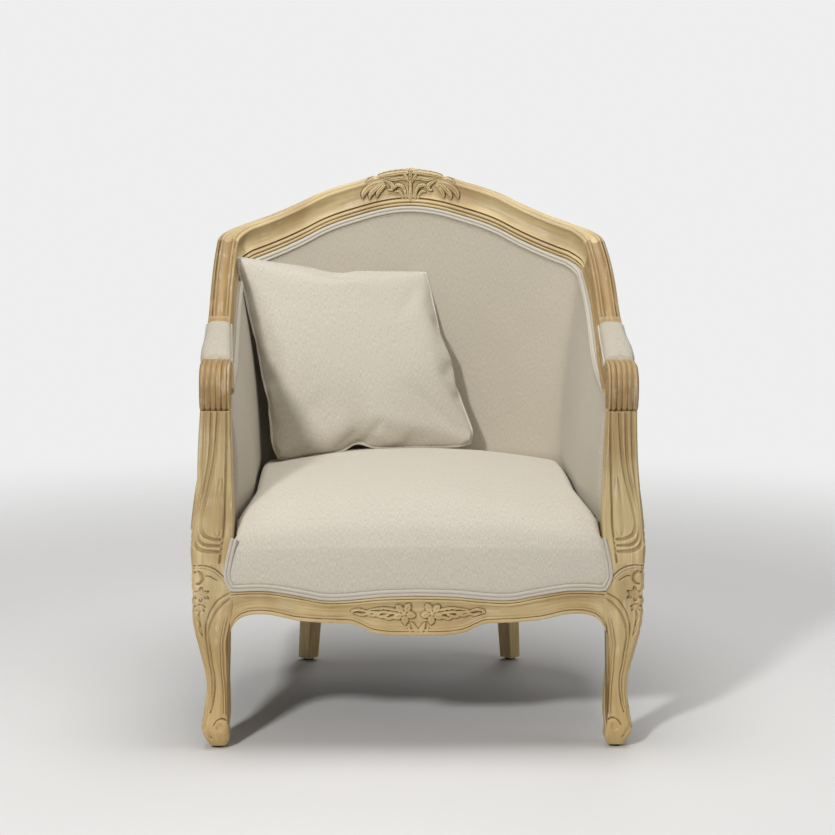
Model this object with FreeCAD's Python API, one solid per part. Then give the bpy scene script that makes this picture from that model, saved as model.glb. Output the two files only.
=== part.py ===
import FreeCAD, Part
import math
import os
from FreeCAD import Vector as V

# Tub-shaped bergere with a carved show-wood frame, a tight sprung seat, an upholstered
# tub back and one loose scatter cushion. Millimetres, +Z up, the front faces -Y, the
# floor is z = 0 and the middle of the chair's footprint is x = y = 0.

# Overall sizes
CHAIR_W = 698.0            # across the carved corner blocks
CHAIR_D = 670.0            # front of the apron to the back of the crest rail
GAP = 0.3                  # clearance between pieces that only lie against each other

# Heights of the top line of the show-wood rail, from the middle of the back to the hand grips
CREST_Z = 871.0
CREST_HAUNCH_Z = 857.5
CREST_FALL_Z = 826.5
SHOULDER_IN_Z = 782.5
SHOULDER_OUT_Z = 761.0
WING_MID_Z = 703.0
PAD_REAR_Z = 653.0
ARM_Z = 636.0
GRIP_Z = 613.0
WING_MID_Y = 22.0
PAD_REAR_Y = -62.0
ARM_Y = -118.0

# Plan of the tub at the show-wood rail and at the seat rails
RAIL_INSET = 12.0          # rail and seat rail set in from the corner blocks
TUB_BACK_R = 615.0
TUB_CORNER_R = 78.0
SEAT_BACK_IN = 77.0        # how far the back leans from seat rail to crest
SEAT_BACK_R = 560.0
SEAT_CORNER_R = 150.0

# Section of the show-wood rail
RAIL_T = 36.0
RAIL_H = 58.0
RAIL_LIP = 5.0
COVE_DEPTH = 5.0
CARVING_W = 176.0
CARVING_RISE = 9.0

# Legs, blocks and seat rails
BLOCK = 62.0
BLOCK_TOP_Z = 300.0
KNEE_Z = 215.0
GLIDE_R = 9.0
GLIDE_T = 5.0
APRON_T = 30.0
APRON_BOW = 8.0
SEAT_RAIL_TOP = 262.0
SEAT_RAIL_BOTTOM = 212.0
SEAT_RAIL_T = 28.0
SIDE_RAIL_OUT = 3.0         # side rail stands proud of the cloth above it
CORNER_BLOCK = 72.0
REAR_FOOT_X = 182.0
REAR_FOOT_Y = 226.0
REAR_FOOT = 26.0
REAR_LEG = 35.0
STILE_D = 6.0              # stile set in from the outer face of the tub
STILE_T = 24.0
STILE_W = 32.0
WING_STILE_U = 2.12        # where along the side the wing stile stands
BACK_LEAN_U = 0.66         # where along the back the rear legs stand, 0 middle, 1 shoulder

# Arm posts and hand grips
POST_T = 46.0
POST_SETBACK = 10.0
GRIP_R = 39.0
GRIP_W = 46.0
GRIP_IN = 3.0              # outer cheek of the grip set in from the rail's outer face
ARM_TOE = 7.0              # the arm draws in towards the front
ARM_SPREAD = 13.0          # and its inner face moves in by this much
PAD_SINK = 13.0
PAD_RISE = 10.0
PAD_SWELL = 3.0

# Upholstery
FABRIC = 1.6
FOAM_BACK_D = 32.2         # back of the tub padding, in from the rail's outer face
TUB_TOP_GAP = 2.0          # padding and its fabric stop short of the rail, behind the gimp
FOAM_TOP = 41.0            # face of the padding at its top
FOAM_SEAT = 76.0           # face of the padding at the seat
FOAM_FRONT = 52.0          # the same beside the arm posts
FOAM_BOTTOM_Z = 272.0
SEAT_LINE_Z = 392.0
TUB_SWELL = 7.0
SEAT_CROWN_Z = 420.0
SEAT_EDGE_DROP = 32.0
OUTSIDE_SWELL = 8.0
GIMP_W = 11.0
GIMP_T = 1.8
WEB_W = 50.0
WEB_T = 1.2
DUST_T = 0.8
FIRST_WEB_Y = -215.0
WEB_PITCH = 105.0
WEBS_ACROSS = 4
WEBS_ALONG = 5
BACK_WEBS_Z = (360.0, 475.0, 585.0, 685.0)
SIDE_WEBS_Z = (350.0, 450.0)
SPRING_R = 31.0
SPRING_WAIST = 21.0
SPRING_WIRE = 3.4
SPRING_TURNS = 5
SPRING_TOP_Z = 338.0
DOWEL_R = 5.0
DOWEL_L = 36.0
SCREW_R = 2.5

# Loose cushion
CUSHION = 344.0
CUSHION_T = 112.0
CUSHION_PULL = 13.0
CUSHION_SEAM = 4.0
CUSHION_X = -95.0
CUSHION_IN = 197.0         # middle of the cushion ahead of the back of the chair
CUSHION_Z = 575.0
CUSHION_LEAN = 23.0
CUSHION_TURN = 15.0
CUSHION_ROLL = -3.0

HALF_W = CHAIR_W / 2
FRONT = -CHAIR_D / 2
REAR = CHAIR_D / 2
SIDE_X = HALF_W - RAIL_INSET
POST_REAR_Y = FRONT + 2.0 + POST_T
BLOCK_REAR_Y = FRONT + 2.0 + BLOCK
BLOCK_IN_X = HALF_W - 2.0 - BLOCK


def plan_curve(side_x, back_y, back_r, corner_r):
    """Outer line of the tub: 0 to 1 back curve, 1 to 2 corner, 2 to 3 straight side."""
    cx = side_x - corner_r
    cy = back_y - back_r + math.sqrt((back_r - corner_r) ** 2 - cx * cx)
    turn = math.atan2(cy - back_y + back_r, cx)

    def at(u):
        if u <= 1:
            a = math.pi / 2 - u * (math.pi / 2 - turn)
            n = V(-math.cos(a), -math.sin(a), 0)
            return V(back_r * math.cos(a), back_y - back_r + back_r * math.sin(a), 0), n
        if u <= 2:
            a = turn * (2 - u)
            n = V(-math.cos(a), -math.sin(a), 0)
            return V(cx + corner_r * math.cos(a), cy + corner_r * math.sin(a), 0), n
        return V(side_x, cy + (u - 2) * (POST_REAR_Y - cy), 0), V(-1, 0, 0)

    return at, cy, (math.pi / 2 - turn) * back_r, turn * corner_r


RAIL_LINE, RAIL_CY, BACK_RUN, CORNER_RUN = plan_curve(SIDE_X, REAR, TUB_BACK_R, TUB_CORNER_R)
SEAT_LINE, SEAT_CY = plan_curve(SIDE_X, REAR - SEAT_BACK_IN, SEAT_BACK_R, SEAT_CORNER_R)[:2]
SIDE_RUN = RAIL_CY - POST_REAR_Y


def side_u(y):
    """Place along the tub where the rail's straight side has this y."""
    return 2 + (RAIL_CY - y) / SIDE_RUN


def run_of(u):
    if u <= 1:
        return u * BACK_RUN
    if u <= 2:
        return BACK_RUN + (u - 1) * CORNER_RUN
    return BACK_RUN + CORNER_RUN + (u - 2) * SIDE_RUN


# Top line: place along the tub, height and slope
TOP_LINE = [
    (0.0, CREST_Z, 0.0),
    (0.29, CREST_HAUNCH_Z, -0.27),
    (0.6, CREST_FALL_Z, -0.47),
    (1.0, SHOULDER_IN_Z, -0.27),
    (2.0, SHOULDER_OUT_Z, -0.25),
    (side_u(WING_MID_Y), WING_MID_Z, -0.54),
    (side_u(PAD_REAR_Y), PAD_REAR_Z, -0.45),
    (side_u(ARM_Y), ARM_Z, -0.18),
    (3.0, GRIP_Z, -0.10)]


def top_z(u):
    """Height of the rail's top, a smooth curve through the named heights."""
    u = min(abs(u), 3.0)
    for (u0, z0, m0), (u1, z1, m1) in zip(TOP_LINE, TOP_LINE[1:]):
        if u <= u1:
            s0 = run_of(u0)
            h = run_of(u1) - s0
            t = (run_of(u) - s0) / h
            return ((2 * t ** 3 - 3 * t ** 2 + 1) * z0 + (t ** 3 - 2 * t ** 2 + t) * h * m0
                    + (3 * t ** 2 - 2 * t ** 3) * z1 + (t ** 3 - t ** 2) * h * m1)
    return GRIP_Z


def spot(u, d, z):
    """Point d inside the outer face of the leaning tub, at height z. Left is negative u."""
    rail, n0 = RAIL_LINE(abs(u))
    seat, n1 = SEAT_LINE(abs(u))
    rise = (z - SEAT_RAIL_TOP) / (top_z(u) - SEAT_RAIL_TOP)
    p = seat + (rail - seat) * rise + (n0 + n1).normalize() * d
    return V(p.x if u >= 0 else -p.x, p.y, z)


def wire(start, *steps):
    """Closed outline from a start point, by lines (one point) and arcs (two points)."""
    edges = []
    here = start
    for step in steps:
        if len(step) == 1:
            edges.append(Part.makeLine(here, step[0]))
        else:
            edges.append(Part.Arc(here, step[0], step[1]).toShape())
        here = step[-1]
    return Part.Wire(edges)


def ring(u, start, *steps):
    """Outline across the tub at u, from (depth, height) pairs."""
    return wire(spot(u, *start), *[[spot(u, *q) for q in step] for step in steps])


def spread(lo, hi, count):
    return [lo + (hi - lo) * i / (count - 1) for i in range(count)]


def loft(wires):
    return Part.makeLoft(wires, True, False)


def box(x0, x1, y0, y1, z0, z1):
    return Part.makeBox(x1 - x0, y1 - y0, z1 - z0, V(x0, y0, z0))


def rod(p, q, r):
    return Part.makeCylinder(r, (q - p).Length, p, q - p)


def mirrored(shape):
    return shape.mirror(V(0, 0, 0), V(1, 0, 0))


def rounded_square(cx, cy, z, size, r, turn=0.0):
    """Level outline with rounded corners."""
    h = size / 2
    pts = []
    for sx, sy in ((1, 1), (-1, 1), (-1, -1), (1, -1)):
        a = V(sx * h, sy * (h - r), 0)
        b = V(sx * (h - r), sy * h, 0)
        m = V(sx * (h - r * 0.293), sy * (h - r * 0.293), 0)
        pts.append((a, m, b) if sx * sy > 0 else (b, m, a))
    edges = []
    for i, (a, m, b) in enumerate(pts):
        edges.append(Part.Arc(a, m, b).toShape())
        edges.append(Part.makeLine(b, pts[(i + 1) % 4][0]))
    w = Part.Wire(edges)
    w.rotate(V(0, 0, 0), V(0, 0, 1), turn)
    w.translate(V(cx, cy, z))
    return w


# Show-wood rail: crest, wings and arms

def rail_ring(u):
    t = top_z(u)
    low = t - RAIL_H
    return ring(u, (0, low), [(0, t - 6)], [(1.8, t - 1.8), (6, t)], [(RAIL_T - 8, t)],
                [(RAIL_T - 2.4, t - 2.4), (RAIL_T, t - 8)],
                [(RAIL_T - COVE_DEPTH, t - RAIL_H * 0.48), (RAIL_T + 2, low + 13)],
                [(RAIL_T + RAIL_LIP, low + 10)], [(RAIL_T + RAIL_LIP, low + 3)],
                [(RAIL_T + 2, low)], [(0, low)])


def carving_blank():
    """Raised ground of the carved spray on the crest, in the plane of the back."""
    top = CREST_Z + CARVING_RISE
    low = CREST_Z - RAIL_H + 14
    h = CARVING_W / 2
    fall = top_z(0.28) + 3
    y = REAR - RAIL_T - 7
    outline = wire(V(0, y, top), [V(h * 0.32, y, top - 2), V(h * 0.55, y, top - 9)],
                   [V(h * 0.8, y, fall), V(h, y, fall - 8)],
                   [V(h * 1.02, y, fall - 18), V(h * 0.86, y, fall - 26)],
                   [V(h * 0.55, y, fall - 20), V(h * 0.24, y, low)],
                   [V(-h * 0.24, y, low)],
                   [V(-h * 0.55, y, fall - 20), V(-h * 0.86, y, fall - 26)],
                   [V(-h * 1.02, y, fall - 18), V(-h, y, fall - 8)],
                   [V(-h * 0.8, y, fall), V(-h * 0.55, y, top - 9)],
                   [V(-h * 0.32, y, top - 2), V(0, y, top)])
    return Part.Face(outline).extrude(V(0, RAIL_T - 8, 0))


def crest_rail():
    stations = spread(-2, -1, 5) + spread(-0.84, 0.84, 11) + spread(1, 2, 5)
    return loft([rail_ring(u) for u in stations]).fuse(carving_blank()).removeSplitter()


def wing_rail():
    return loft([rail_ring(u) for u in spread(2, side_u(PAD_REAR_Y), 6)])


def arm_sides(u):
    """Depth of the arm's outer and inner faces."""
    rear = side_u(PAD_REAR_Y)
    share = (u - rear) / (3.0 - rear)
    return ARM_TOE * share, RAIL_T + ARM_SPREAD * share


def arm_ring(u):
    bed = top_z(u) - PAD_SINK
    low = top_z(u) - RAIL_H
    a, b = arm_sides(u)
    return ring(u, (a, low), [(a, bed)], [(b, bed)], [(b, low)], [(a, low)])


GRIP_OUT_X = SIDE_X - GRIP_IN
GRIP_IN_X = GRIP_OUT_X - GRIP_W
GRIP_Y = FRONT + GRIP_R
GRIP_MID_Z = GRIP_Z - GRIP_R
POST_TOP_Z = GRIP_MID_Z - GRIP_R + 2.0


def arm():
    """Bed of the arm pad, with the scrolled hand grip at its front."""
    bed = loft([arm_ring(u) for u in spread(side_u(PAD_REAR_Y), 3.0, 10)])
    back = GRIP_Y + 30.0
    low = GRIP_MID_Z - GRIP_R
    heel = POST_REAR_Y - GAP
    under = top_z(side_u(back)) - RAIL_H
    profile = wire(V(GRIP_IN_X, back, GRIP_Z + 1.5), [V(GRIP_IN_X, GRIP_Y, GRIP_Z)],
                   [V(GRIP_IN_X, FRONT, GRIP_MID_Z), V(GRIP_IN_X, GRIP_Y, low)],
                   [V(GRIP_IN_X, heel, low + 3)], [V(GRIP_IN_X, heel, under)],
                   [V(GRIP_IN_X, back, under)], [V(GRIP_IN_X, back, GRIP_Z + 1.5)])
    grip = Part.Face(profile).extrude(V(GRIP_W, 0, 0))
    return bed.fuse(grip).removeSplitter()


# Arm posts: share of the height, inset of the outer face, width and set-back of the front
POST_LINE = ((0, 0, 62, 0), (0.15, 0, 63, 2), (0.32, 4, 60, 6), (0.5, 9, 53, POST_SETBACK),
             (0.72, 13, 48, 9), (0.88, 15, 45, 6), (1, 16, 44, 3))


def arm_post():
    """Moulded post from the corner block up to the hand grip."""
    span = POST_TOP_Z - BLOCK_TOP_Z
    wires = []
    for share, out_in, width, back in POST_LINE:
        x1 = HALF_W - 2 - out_in
        x0 = x1 - width
        y0 = FRONT + 2 + back
        y1 = POST_REAR_Y - GAP
        z = BLOCK_TOP_Z + share * span
        r = 4.0
        wires.append(wire(V(x0 + r, y0, z), [V(x1 - r, y0, z)],
                          [V(x1 - 1.2, y0 + 1.2, z), V(x1, y0 + r, z)], [V(x1, y1, z)],
                          [V(x0, y1, z)], [V(x0, y0 + r, z)],
                          [V(x0 + 1.2, y0 + 1.2, z), V(x0 + r, y0, z)]))
    post = loft(wires)
    return post.cut(rod(V(GRIP_IN_X - 20, GRIP_Y, GRIP_MID_Z),
                        V(GRIP_OUT_X + 20, GRIP_Y, GRIP_MID_Z), GRIP_R))


# Front legs: height, inset of the outer faces, thickness
LEG_LINE = [(GLIDE_T, 24, 27), (14, 19, 36), (33, 13, 42), (54, 18, 39), (76, 21, 36),
            (98, 22, 34.5), (122, 20, 34.5), (147, 15, 39), (172, 9.5, 44), (194, 5, 52)]


def front_leg():
    """Cabriole leg and the square block above it, set on the chair's corner."""
    wires = []
    for z, inset, thick in LEG_LINE + [(KNEE_Z, 2.5, BLOCK - 3), (KNEE_Z + 22, 2, BLOCK)]:
        c = inset + thick / 2
        wires.append(rounded_square(HALF_W - c, FRONT + c, z, thick, min(8.0, thick * 0.24)))
    leg = loft(wires)
    block = Part.Face(rounded_square(HALF_W - 2 - BLOCK / 2, FRONT + 2 + BLOCK / 2,
                                     KNEE_Z + 22, BLOCK, 8.0)).extrude(
        V(0, 0, BLOCK_TOP_Z - KNEE_Z - 22))
    ledge = box(0, HALF_W, POST_REAR_Y - GAP, BLOCK_REAR_Y + 1, SEAT_RAIL_TOP, BLOCK_TOP_Z + 1)
    return leg.fuse(block).removeSplitter().cut(ledge)


# Lines of the serpentine apron: x, height of the top and of the lower edge
APRON_LINE = [(0, 249.0, 186.0), (62, 247.0, 190.0), (104, 243.0, 201.0), (142, 242.0, 204.0),
              (188, 250.0, 210.0), (236, 257.0, 220.0), (262, 254.5, 218.5),
              (BLOCK_IN_X, 249.5, 205.0)]


def curve_edge(points):
    c = Part.BSplineCurve()
    c.interpolate(points)
    return c.toShape()


def apron_face(y, top_shift=0.0):
    """Front outline of the apron as a face at this y."""
    tops = [V(x, y, z + top_shift) for x, z, low in APRON_LINE]
    lows = [V(x, y, low) for x, z, low in APRON_LINE]
    tops = [V(-p.x, p.y, p.z) for p in tops[:0:-1]] + tops
    lows = [V(-p.x, p.y, p.z) for p in lows[:0:-1]] + lows
    return Part.Face(Part.Wire([curve_edge(tops), Part.makeLine(tops[-1], lows[-1]),
                                curve_edge(lows[::-1]), Part.makeLine(lows[0], tops[0])]))


def front_rail():
    """Serpentine apron, bowed forward in plan and sawn to its curved outline."""
    solid = apron_face(FRONT - 5).extrude(V(0, APRON_T + 30, 0))
    y0 = FRONT + 1 + APRON_BOW
    y1 = y0 + APRON_T
    x = BLOCK_IN_X
    plan = wire(V(-x, y0, 0), [V(0, FRONT + 1, 0), V(x, y0, 0)], [V(x, y1, 0)],
                [V(0, FRONT + 1 + APRON_T, 0), V(-x, y1, 0)], [V(-x, y0, 0)])
    return solid.common(Part.Face(plan).extrude(V(0, 0, 400)))


def rail_band(u0, u1, count, d0, d1, z0, z1):
    """Plain curved board or band along the tub."""
    return loft([ring(u, (d0, z0), [(d0, z1)], [(d1, z1)], [(d1, z0)], [(d0, z0)])
                 for u in spread(u0, u1, count)])


def upright(u, z0):
    """Straight stile leaning with the tub, cut to the underside of the show-wood rail."""
    n = RAIL_LINE(u)[1]
    along = V(-n.y, n.x, 0) * (STILE_W / 2)
    rings = []
    for z in (z0, top_z(u) - RAIL_H + 25):
        a = spot(u, STILE_D, z)
        b = spot(u, STILE_D + STILE_T, z)
        rings.append(wire(a - along, [a + along], [b + along], [b - along], [a - along]))
    stile = Part.makeLoft(rings, True, True)
    above = 100
    hood = []
    for v in spread(u - 0.2, u + 0.2, 5):
        low = top_z(v) - RAIL_H - GAP
        hood.append(ring(v, (-20, low + above), [(60, low + above)], [(60, low)], [(-20, low)],
                         [(-20, low + above)]))
    return stile.cut(loft(hood))


def rear_leg_axis():
    foot = V(REAR_FOOT_X, REAR_FOOT_Y, GLIDE_T)
    top = spot(BACK_LEAN_U, SEAT_RAIL_T / 2 + 4, SEAT_RAIL_TOP)
    return foot, top


def rear_leg():
    """Square tapered leg set cornerwise, carried up as a back stile."""
    foot, top = rear_leg_axis()
    leg = Part.makeLoft([rounded_square(foot.x, foot.y, foot.z, REAR_FOOT, 2.0, 45.0),
                         rounded_square(top.x, top.y, top.z, REAR_LEG, 2.0, 45.0)], True, True)
    return leg.fuse(upright(BACK_LEAN_U, SEAT_RAIL_TOP)).removeSplitter()


def rear_leg_mortise():
    """Straight-sided pocket that the seat rails leave for the rear leg."""
    foot, top = rear_leg_axis()
    way = (top - foot) * ((SEAT_RAIL_TOP - SEAT_RAIL_BOTTOM + 16) / (top.z - foot.z))
    h = (REAR_LEG + GAP) * math.sqrt(0.5)
    c = top + way * 0.1
    square = Part.makePolygon([c + V(h, 0, 0), c + V(0, h, 0), c + V(-h, 0, 0), c + V(0, -h, 0),
                               c + V(h, 0, 0)])
    return Part.Face(square).extrude(way * -1.2)


def glide(x, y):
    """Domed floor glide with its shank, driven into a leg."""
    disc = Part.makeCylinder(GLIDE_R, GLIDE_T - 1, V(x, y, 1))
    foot = Part.makeCone(GLIDE_R - 2, GLIDE_R, 1, V(x, y, 0))
    return disc.fuse([foot, Part.makeCylinder(SCREW_R, 14, V(x, y, GLIDE_T - 0.5))]).removeSplitter()


def corner_block():
    """Three-cornered glued block between the front batten and the side rail, with screws."""
    x = SIDE_X - SEAT_RAIL_T + SIDE_RAIL_OUT - 0.1
    y = BLOCK_REAR_Y + 0.1
    low = SEAT_RAIL_BOTTOM + 6
    leg = CORNER_BLOCK
    w = Part.makePolygon([V(x, y, low), V(x - leg, y, low), V(x, y + leg, low), V(x, y, low)])
    solid = Part.Face(w).extrude(V(0, 0, SEAT_RAIL_TOP - SEAT_RAIL_BOTTOM - 12))
    screws = []
    for z in (low + 12, SEAT_RAIL_TOP - 18):
        for head, way in ((V(x - 11, y + leg - 27, z), V(1, 0, 0)),
                          (V(x - leg + 27, y + 11, z + 6), V(0, -1, 0))):
            screws.append(rod(head, head + way * 26, SCREW_R))
    return solid, screws


def front_batten():
    """Straight rail behind the apron, which carries the webbing and the seat's edge."""
    y0 = FRONT + 1 + APRON_BOW + APRON_T + 0.1
    return box(-BLOCK_IN_X, BLOCK_IN_X, y0, BLOCK_REAR_Y, SEAT_RAIL_BOTTOM, SEAT_RAIL_TOP - 6)


# Upholstery

def foam_face(u):
    """Depth of the tub padding at the seat, drawn in beside the arm posts."""
    start = side_u(-120.0)
    share = max(0.0, (abs(u) - start) / (3.0 - start))
    return FOAM_SEAT - (FOAM_SEAT - FOAM_FRONT) * share ** 1.5


def tub_points(u, skin):
    """Top, swell, seat and bottom points of the tub padding's face."""
    t = top_z(u) - RAIL_H - TUB_TOP_GAP
    face = foam_face(u)
    mid = (t + SEAT_LINE_Z) / 2
    top = min(FOAM_TOP, face)
    return ((top + skin, t), ((top + face) / 2 + TUB_SWELL + skin, mid),
            (face + skin, SEAT_LINE_Z), (face - 18 + skin, FOAM_BOTTOM_Z))


def tub_foam(u0, u1, count):
    rings = []
    for u in spread(u0, u1, count):
        top, mid, seat, low = tub_points(u, 0)
        rings.append(ring(u, (FOAM_BACK_D, top[1]), [top], [mid, seat], [low],
                          [(FOAM_BACK_D, low[1])], [(FOAM_BACK_D, top[1])]))
    return loft(rings)


# The tub's long bands are lofted in three runs that share their end outlines
TUB_RUNS = (spread(-3.0, -1.2, 21), spread(-1.2, 1.2, 15), spread(1.2, 3.0, 21))


def banded(outline):
    runs = [loft([outline(u) for u in run]) for run in TUB_RUNS]
    return runs[0].fuse(runs[1:]).removeSplitter()


def cover_ring(u):
    a = tub_points(u, GAP)
    b = tub_points(u, FABRIC + GAP)
    return ring(u, a[0], [b[0]], [b[1], b[2]], [b[3]], [a[3]], [a[2]], [a[1], a[0]])


def face_depth(u, z):
    """Depth of the tub's fabric face at a height, on the curve through its three points."""
    (a, za), (b, zb), (c, zc) = tub_points(u, FABRIC + GAP)[:3]
    return (a * (z - zb) * (z - zc) / ((za - zb) * (za - zc))
            + b * (z - za) * (z - zc) / ((zb - za) * (zb - zc))
            + c * (z - za) * (z - zb) / ((zc - za) * (zc - zb)))


def gimp_ring(u):
    t = top_z(u) - RAIL_H - 1.5
    a = face_depth(u, t) + 2 * GAP
    b = face_depth(u, t - GIMP_W) + 2 * GAP
    return ring(u, (a, t), [(a + GIMP_T, t - 1)], [(b + GIMP_T, t - GIMP_W + 1)],
                [(b, t - GIMP_W)], [(a, t)])


def outside_cover(u0, u1, count):
    """Fabric panel on the outside, from under the show-wood rail to the seat rail."""
    rings = []
    for u in spread(u0, u1, count):
        t = top_z(u) - RAIL_H - GAP
        b = SEAT_RAIL_TOP + GAP
        m = (t + b) / 2
        rings.append(ring(u, (2, b), [(2 - OUTSIDE_SWELL, m), (2, t)], [(2 + FABRIC, t)],
                          [(2 + FABRIC - OUTSIDE_SWELL, m), (2 + FABRIC, b)], [(2, b)]))
    return loft(rings)


def seat_width(y):
    """Half width of the seat, clear of the tub's faces at the seat and at the rails."""
    near = BLOCK_IN_X - 3.0
    if y < POST_REAR_Y + 4:
        return near
    for level in (2, 3):
        best = 0.0
        last = None
        for u in spread(0.0, 3.0, 241):
            p = spot(u, *tub_points(u, FABRIC + 2 * GAP)[level])
            if last and (last.y - y) * (p.y - y) <= 0 and abs(last.y - p.y) > 1e-6:
                best = max(best, last.x + (p.x - last.x) * (y - last.y) / (p.y - last.y))
            last = p
        near = min(near, best - 2.5)
    return near


SEAT_REAR_Y = spot(0, FOAM_SEAT + FABRIC, SEAT_LINE_Z).y - 3.0
SEAT_FRONT_Y = FRONT + 1.2 + GIMP_T + GAP


SEAT_EDGE_Z = SEAT_CROWN_Z - SEAT_EDGE_DROP
# Seat by distance from its front: fall of the crown and of the edges
SEAT_STATIONS = [(0, 92, 80), (5, 72, 60), (18, 50, 42), (42, 30, 28), (85, 14, 14),
                 (150, 4, 4), (250, 0, 0), (340, 2, 0), (410, 8, 4), (455, 15, 7)]


def seat_outline(y, crown, edge, skin):
    """Half-section points of the seat, drawn in by a skin: foot, side, edge and crown."""
    slope = (seat_width(y - 1) - seat_width(y + 1)) / 2
    w = seat_width(y) - skin * math.sqrt(1 + slope * slope)
    low = SEAT_RAIL_TOP
    return V(w, y, low), V(w + 1, y, (edge + low) / 2), V(w, y, edge - skin), V(0, y, crown - skin)


def flip(p):
    return V(-p.x, p.y, p.z)


def seat_stations():
    """Fore-and-aft places of the seat with the heights of its crown and edges."""
    stations = [(SEAT_FRONT_Y + run, SEAT_CROWN_Z - fall, SEAT_EDGE_Z - drop)
                for run, fall, drop in SEAT_STATIONS]
    for back, fall, drop in ((30, 20, 9), (18, 23, 10), (10, 25.5, 11), (6, 27, 11.5)):
        stations.append((SEAT_REAR_Y - back, SEAT_CROWN_Z - fall, SEAT_EDGE_Z - drop))
    return stations


def full_seat_ring(y, crown, edge, skin):
    foot, side, rim, top = seat_outline(y, crown, edge, skin)
    return wire(flip(foot), [flip(side), flip(rim)], [top, rim], [side, foot], [flip(foot)])


def seat_body(skin):
    """Domed seat, its front face rising from the apron and rolling over to the top."""
    wires = []
    for i, (y, crown, edge) in enumerate(seat_stations()):
        wires.append(full_seat_ring(y + (skin if i == 0 else 0), crown, edge, skin))
    return loft(wires)


def seat_skin():
    """Tight fabric over the seat, closed in front and open below."""
    wires = []
    for y, crown, edge in seat_stations():
        foot, side, rim, top = seat_outline(y, crown, edge, 0)
        foot2, side2, rim2, top2 = seat_outline(y, crown, edge, FABRIC)
        wires.append(wire(flip(foot), [flip(side), flip(rim)], [top, rim], [side, foot], [foot2],
                          [side2, rim2], [top2, flip(rim2)], [flip(side2), flip(foot2)],
                          [flip(foot)]))
    y, crown, edge = seat_stations()[0]
    panel = Part.Face(full_seat_ring(y, crown, edge, FABRIC / 2)).extrude(V(0, FABRIC, 0))
    return loft(wires).fuse(panel).removeSplitter()


def pocket(inset, z0, z1):
    """Straight-sided space in the middle of the seat, where the springs stand."""
    pts = []
    for y in spread(SEAT_FRONT_Y + inset + 6, SEAT_REAR_Y - inset, 25):
        pts.append(V(seat_width(y) - inset, y, z0))
    ring_pts = pts + [V(-p.x, p.y, p.z) for p in pts[::-1]]
    return Part.Face(Part.makePolygon(ring_pts + [ring_pts[0]])).extrude(V(0, 0, z1 - z0))


def seat_gimp():
    """Double piping along the apron and up the inner edge of both posts."""
    strip = apron_face(FRONT + 1.2, GIMP_W).cut(apron_face(FRONT + 1.2, 1.0))
    front = strip.extrude(V(0, GIMP_T, 0))
    x = BLOCK_IN_X
    side = Part.Face(wire(
        V(x - 2, 0, 250), [V(x + 11, 0, 275)], [V(x - 2, 0, 334)], [V(x - 12, 0, 334)],
        [V(x, 0, 275)], [V(x - 10, 0, 262)], [V(x - 2, 0, 250)]))
    side = side.extrude(V(0, GIMP_T, 0))
    side.translate(V(0, FRONT + 0.1, 0))
    upper = front.common(box(-x + 2.2, x - 2.2, FRONT - 5, FRONT + 9, 235, 300))
    return [upper, side, mirrored(side)]


def arc_edge(p, c, q):
    """Arc from p to q whose end tangents meet at c."""
    m = (p + q) * 0.5
    half = (q - p).Length / 2
    rise = (c - m).Length
    angle = math.atan2(rise, half)
    return Part.Arc(p, m + (c - m) * (half * math.tan(angle / 2) / rise), q).toShape()


def coil_spring(x, y, z0, z1):
    """Waisted coil spring: one unbroken wire of arcs that meet without a kink."""
    count = SPRING_TURNS * 4

    def point(i):
        f = i / count
        r = SPRING_WAIST + (SPRING_R - SPRING_WAIST) * (2 * f - 1) ** 2
        a = math.pi / 2 * i
        return V(x + r * math.cos(a), y + r * math.sin(a), z0 + (z1 - z0) * f)

    edges = []
    for i in range(count):
        p = point(i)
        q = point(i + 1)
        tp = (point(i + 0.001) - point(i - 0.001)).normalize()
        tq = (point(i + 1.001) - point(i + 0.999)).normalize()
        v = q - p
        both = v.dot(tp + tq)
        k = 2 * (1 - tp.dot(tq))
        reach = (math.sqrt(both * both + k * v.dot(v)) - both) / k
        a = p + tp * reach
        b = q - tq * reach
        edges += [arc_edge(p, a, (a + b) * 0.5), arc_edge((a + b) * 0.5, b, q)]
    start = (point(0.001) - point(-0.001)).normalize()
    section = Part.Wire([Part.makeCircle(SPRING_WIRE / 2, point(0), start)])
    return Part.Wire(edges).makePipeShell([section], True, False)


def arm_pad(grow, lift):
    """Upholstered pad on the arm, rounded at both ends."""
    u0 = side_u(PAD_REAR_Y - 1.5)
    u1 = side_u(GRIP_Y + 31.5)
    rings = []
    for share, up in ((0, 0.30), (0.03, 0.62), (0.10, 0.88), (0.25, 1), (0.5, 1.06),
                      (0.75, 1), (0.90, 0.9), (0.97, 0.66), (1, 0.36)):
        u = u0 + share * (u1 - u0)
        a, b = arm_sides(u)
        bed = top_z(u) - PAD_SINK + GAP
        high = bed + (PAD_SINK + PAD_RISE) * up + grow
        bed += lift
        mid = (bed + high) / 2
        side = PAD_SWELL * up + grow
        rings.append(ring(u, (a - side * 0.4, bed), [(a - side, mid), (a + 2, high - 3 * up)],
                          [((a + b) / 2, high), (b - 2, high - 3 * up)],
                          [(b + side, mid), (b + side * 0.4, bed)], [(a - side * 0.4, bed)]))
    return loft(rings)


# Cushion outline by level: share of the height, of the corners and of the sides' middles
CUSHION_LEVELS = ((0.0, 1.0, 1.0), (0.16, 0.925, 0.965), (0.36, 0.80, 0.90), (0.57, 0.66, 0.80),
                  (0.76, 0.50, 0.655), (0.91, 0.32, 0.45), (1.0, 0.13, 0.185))


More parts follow.
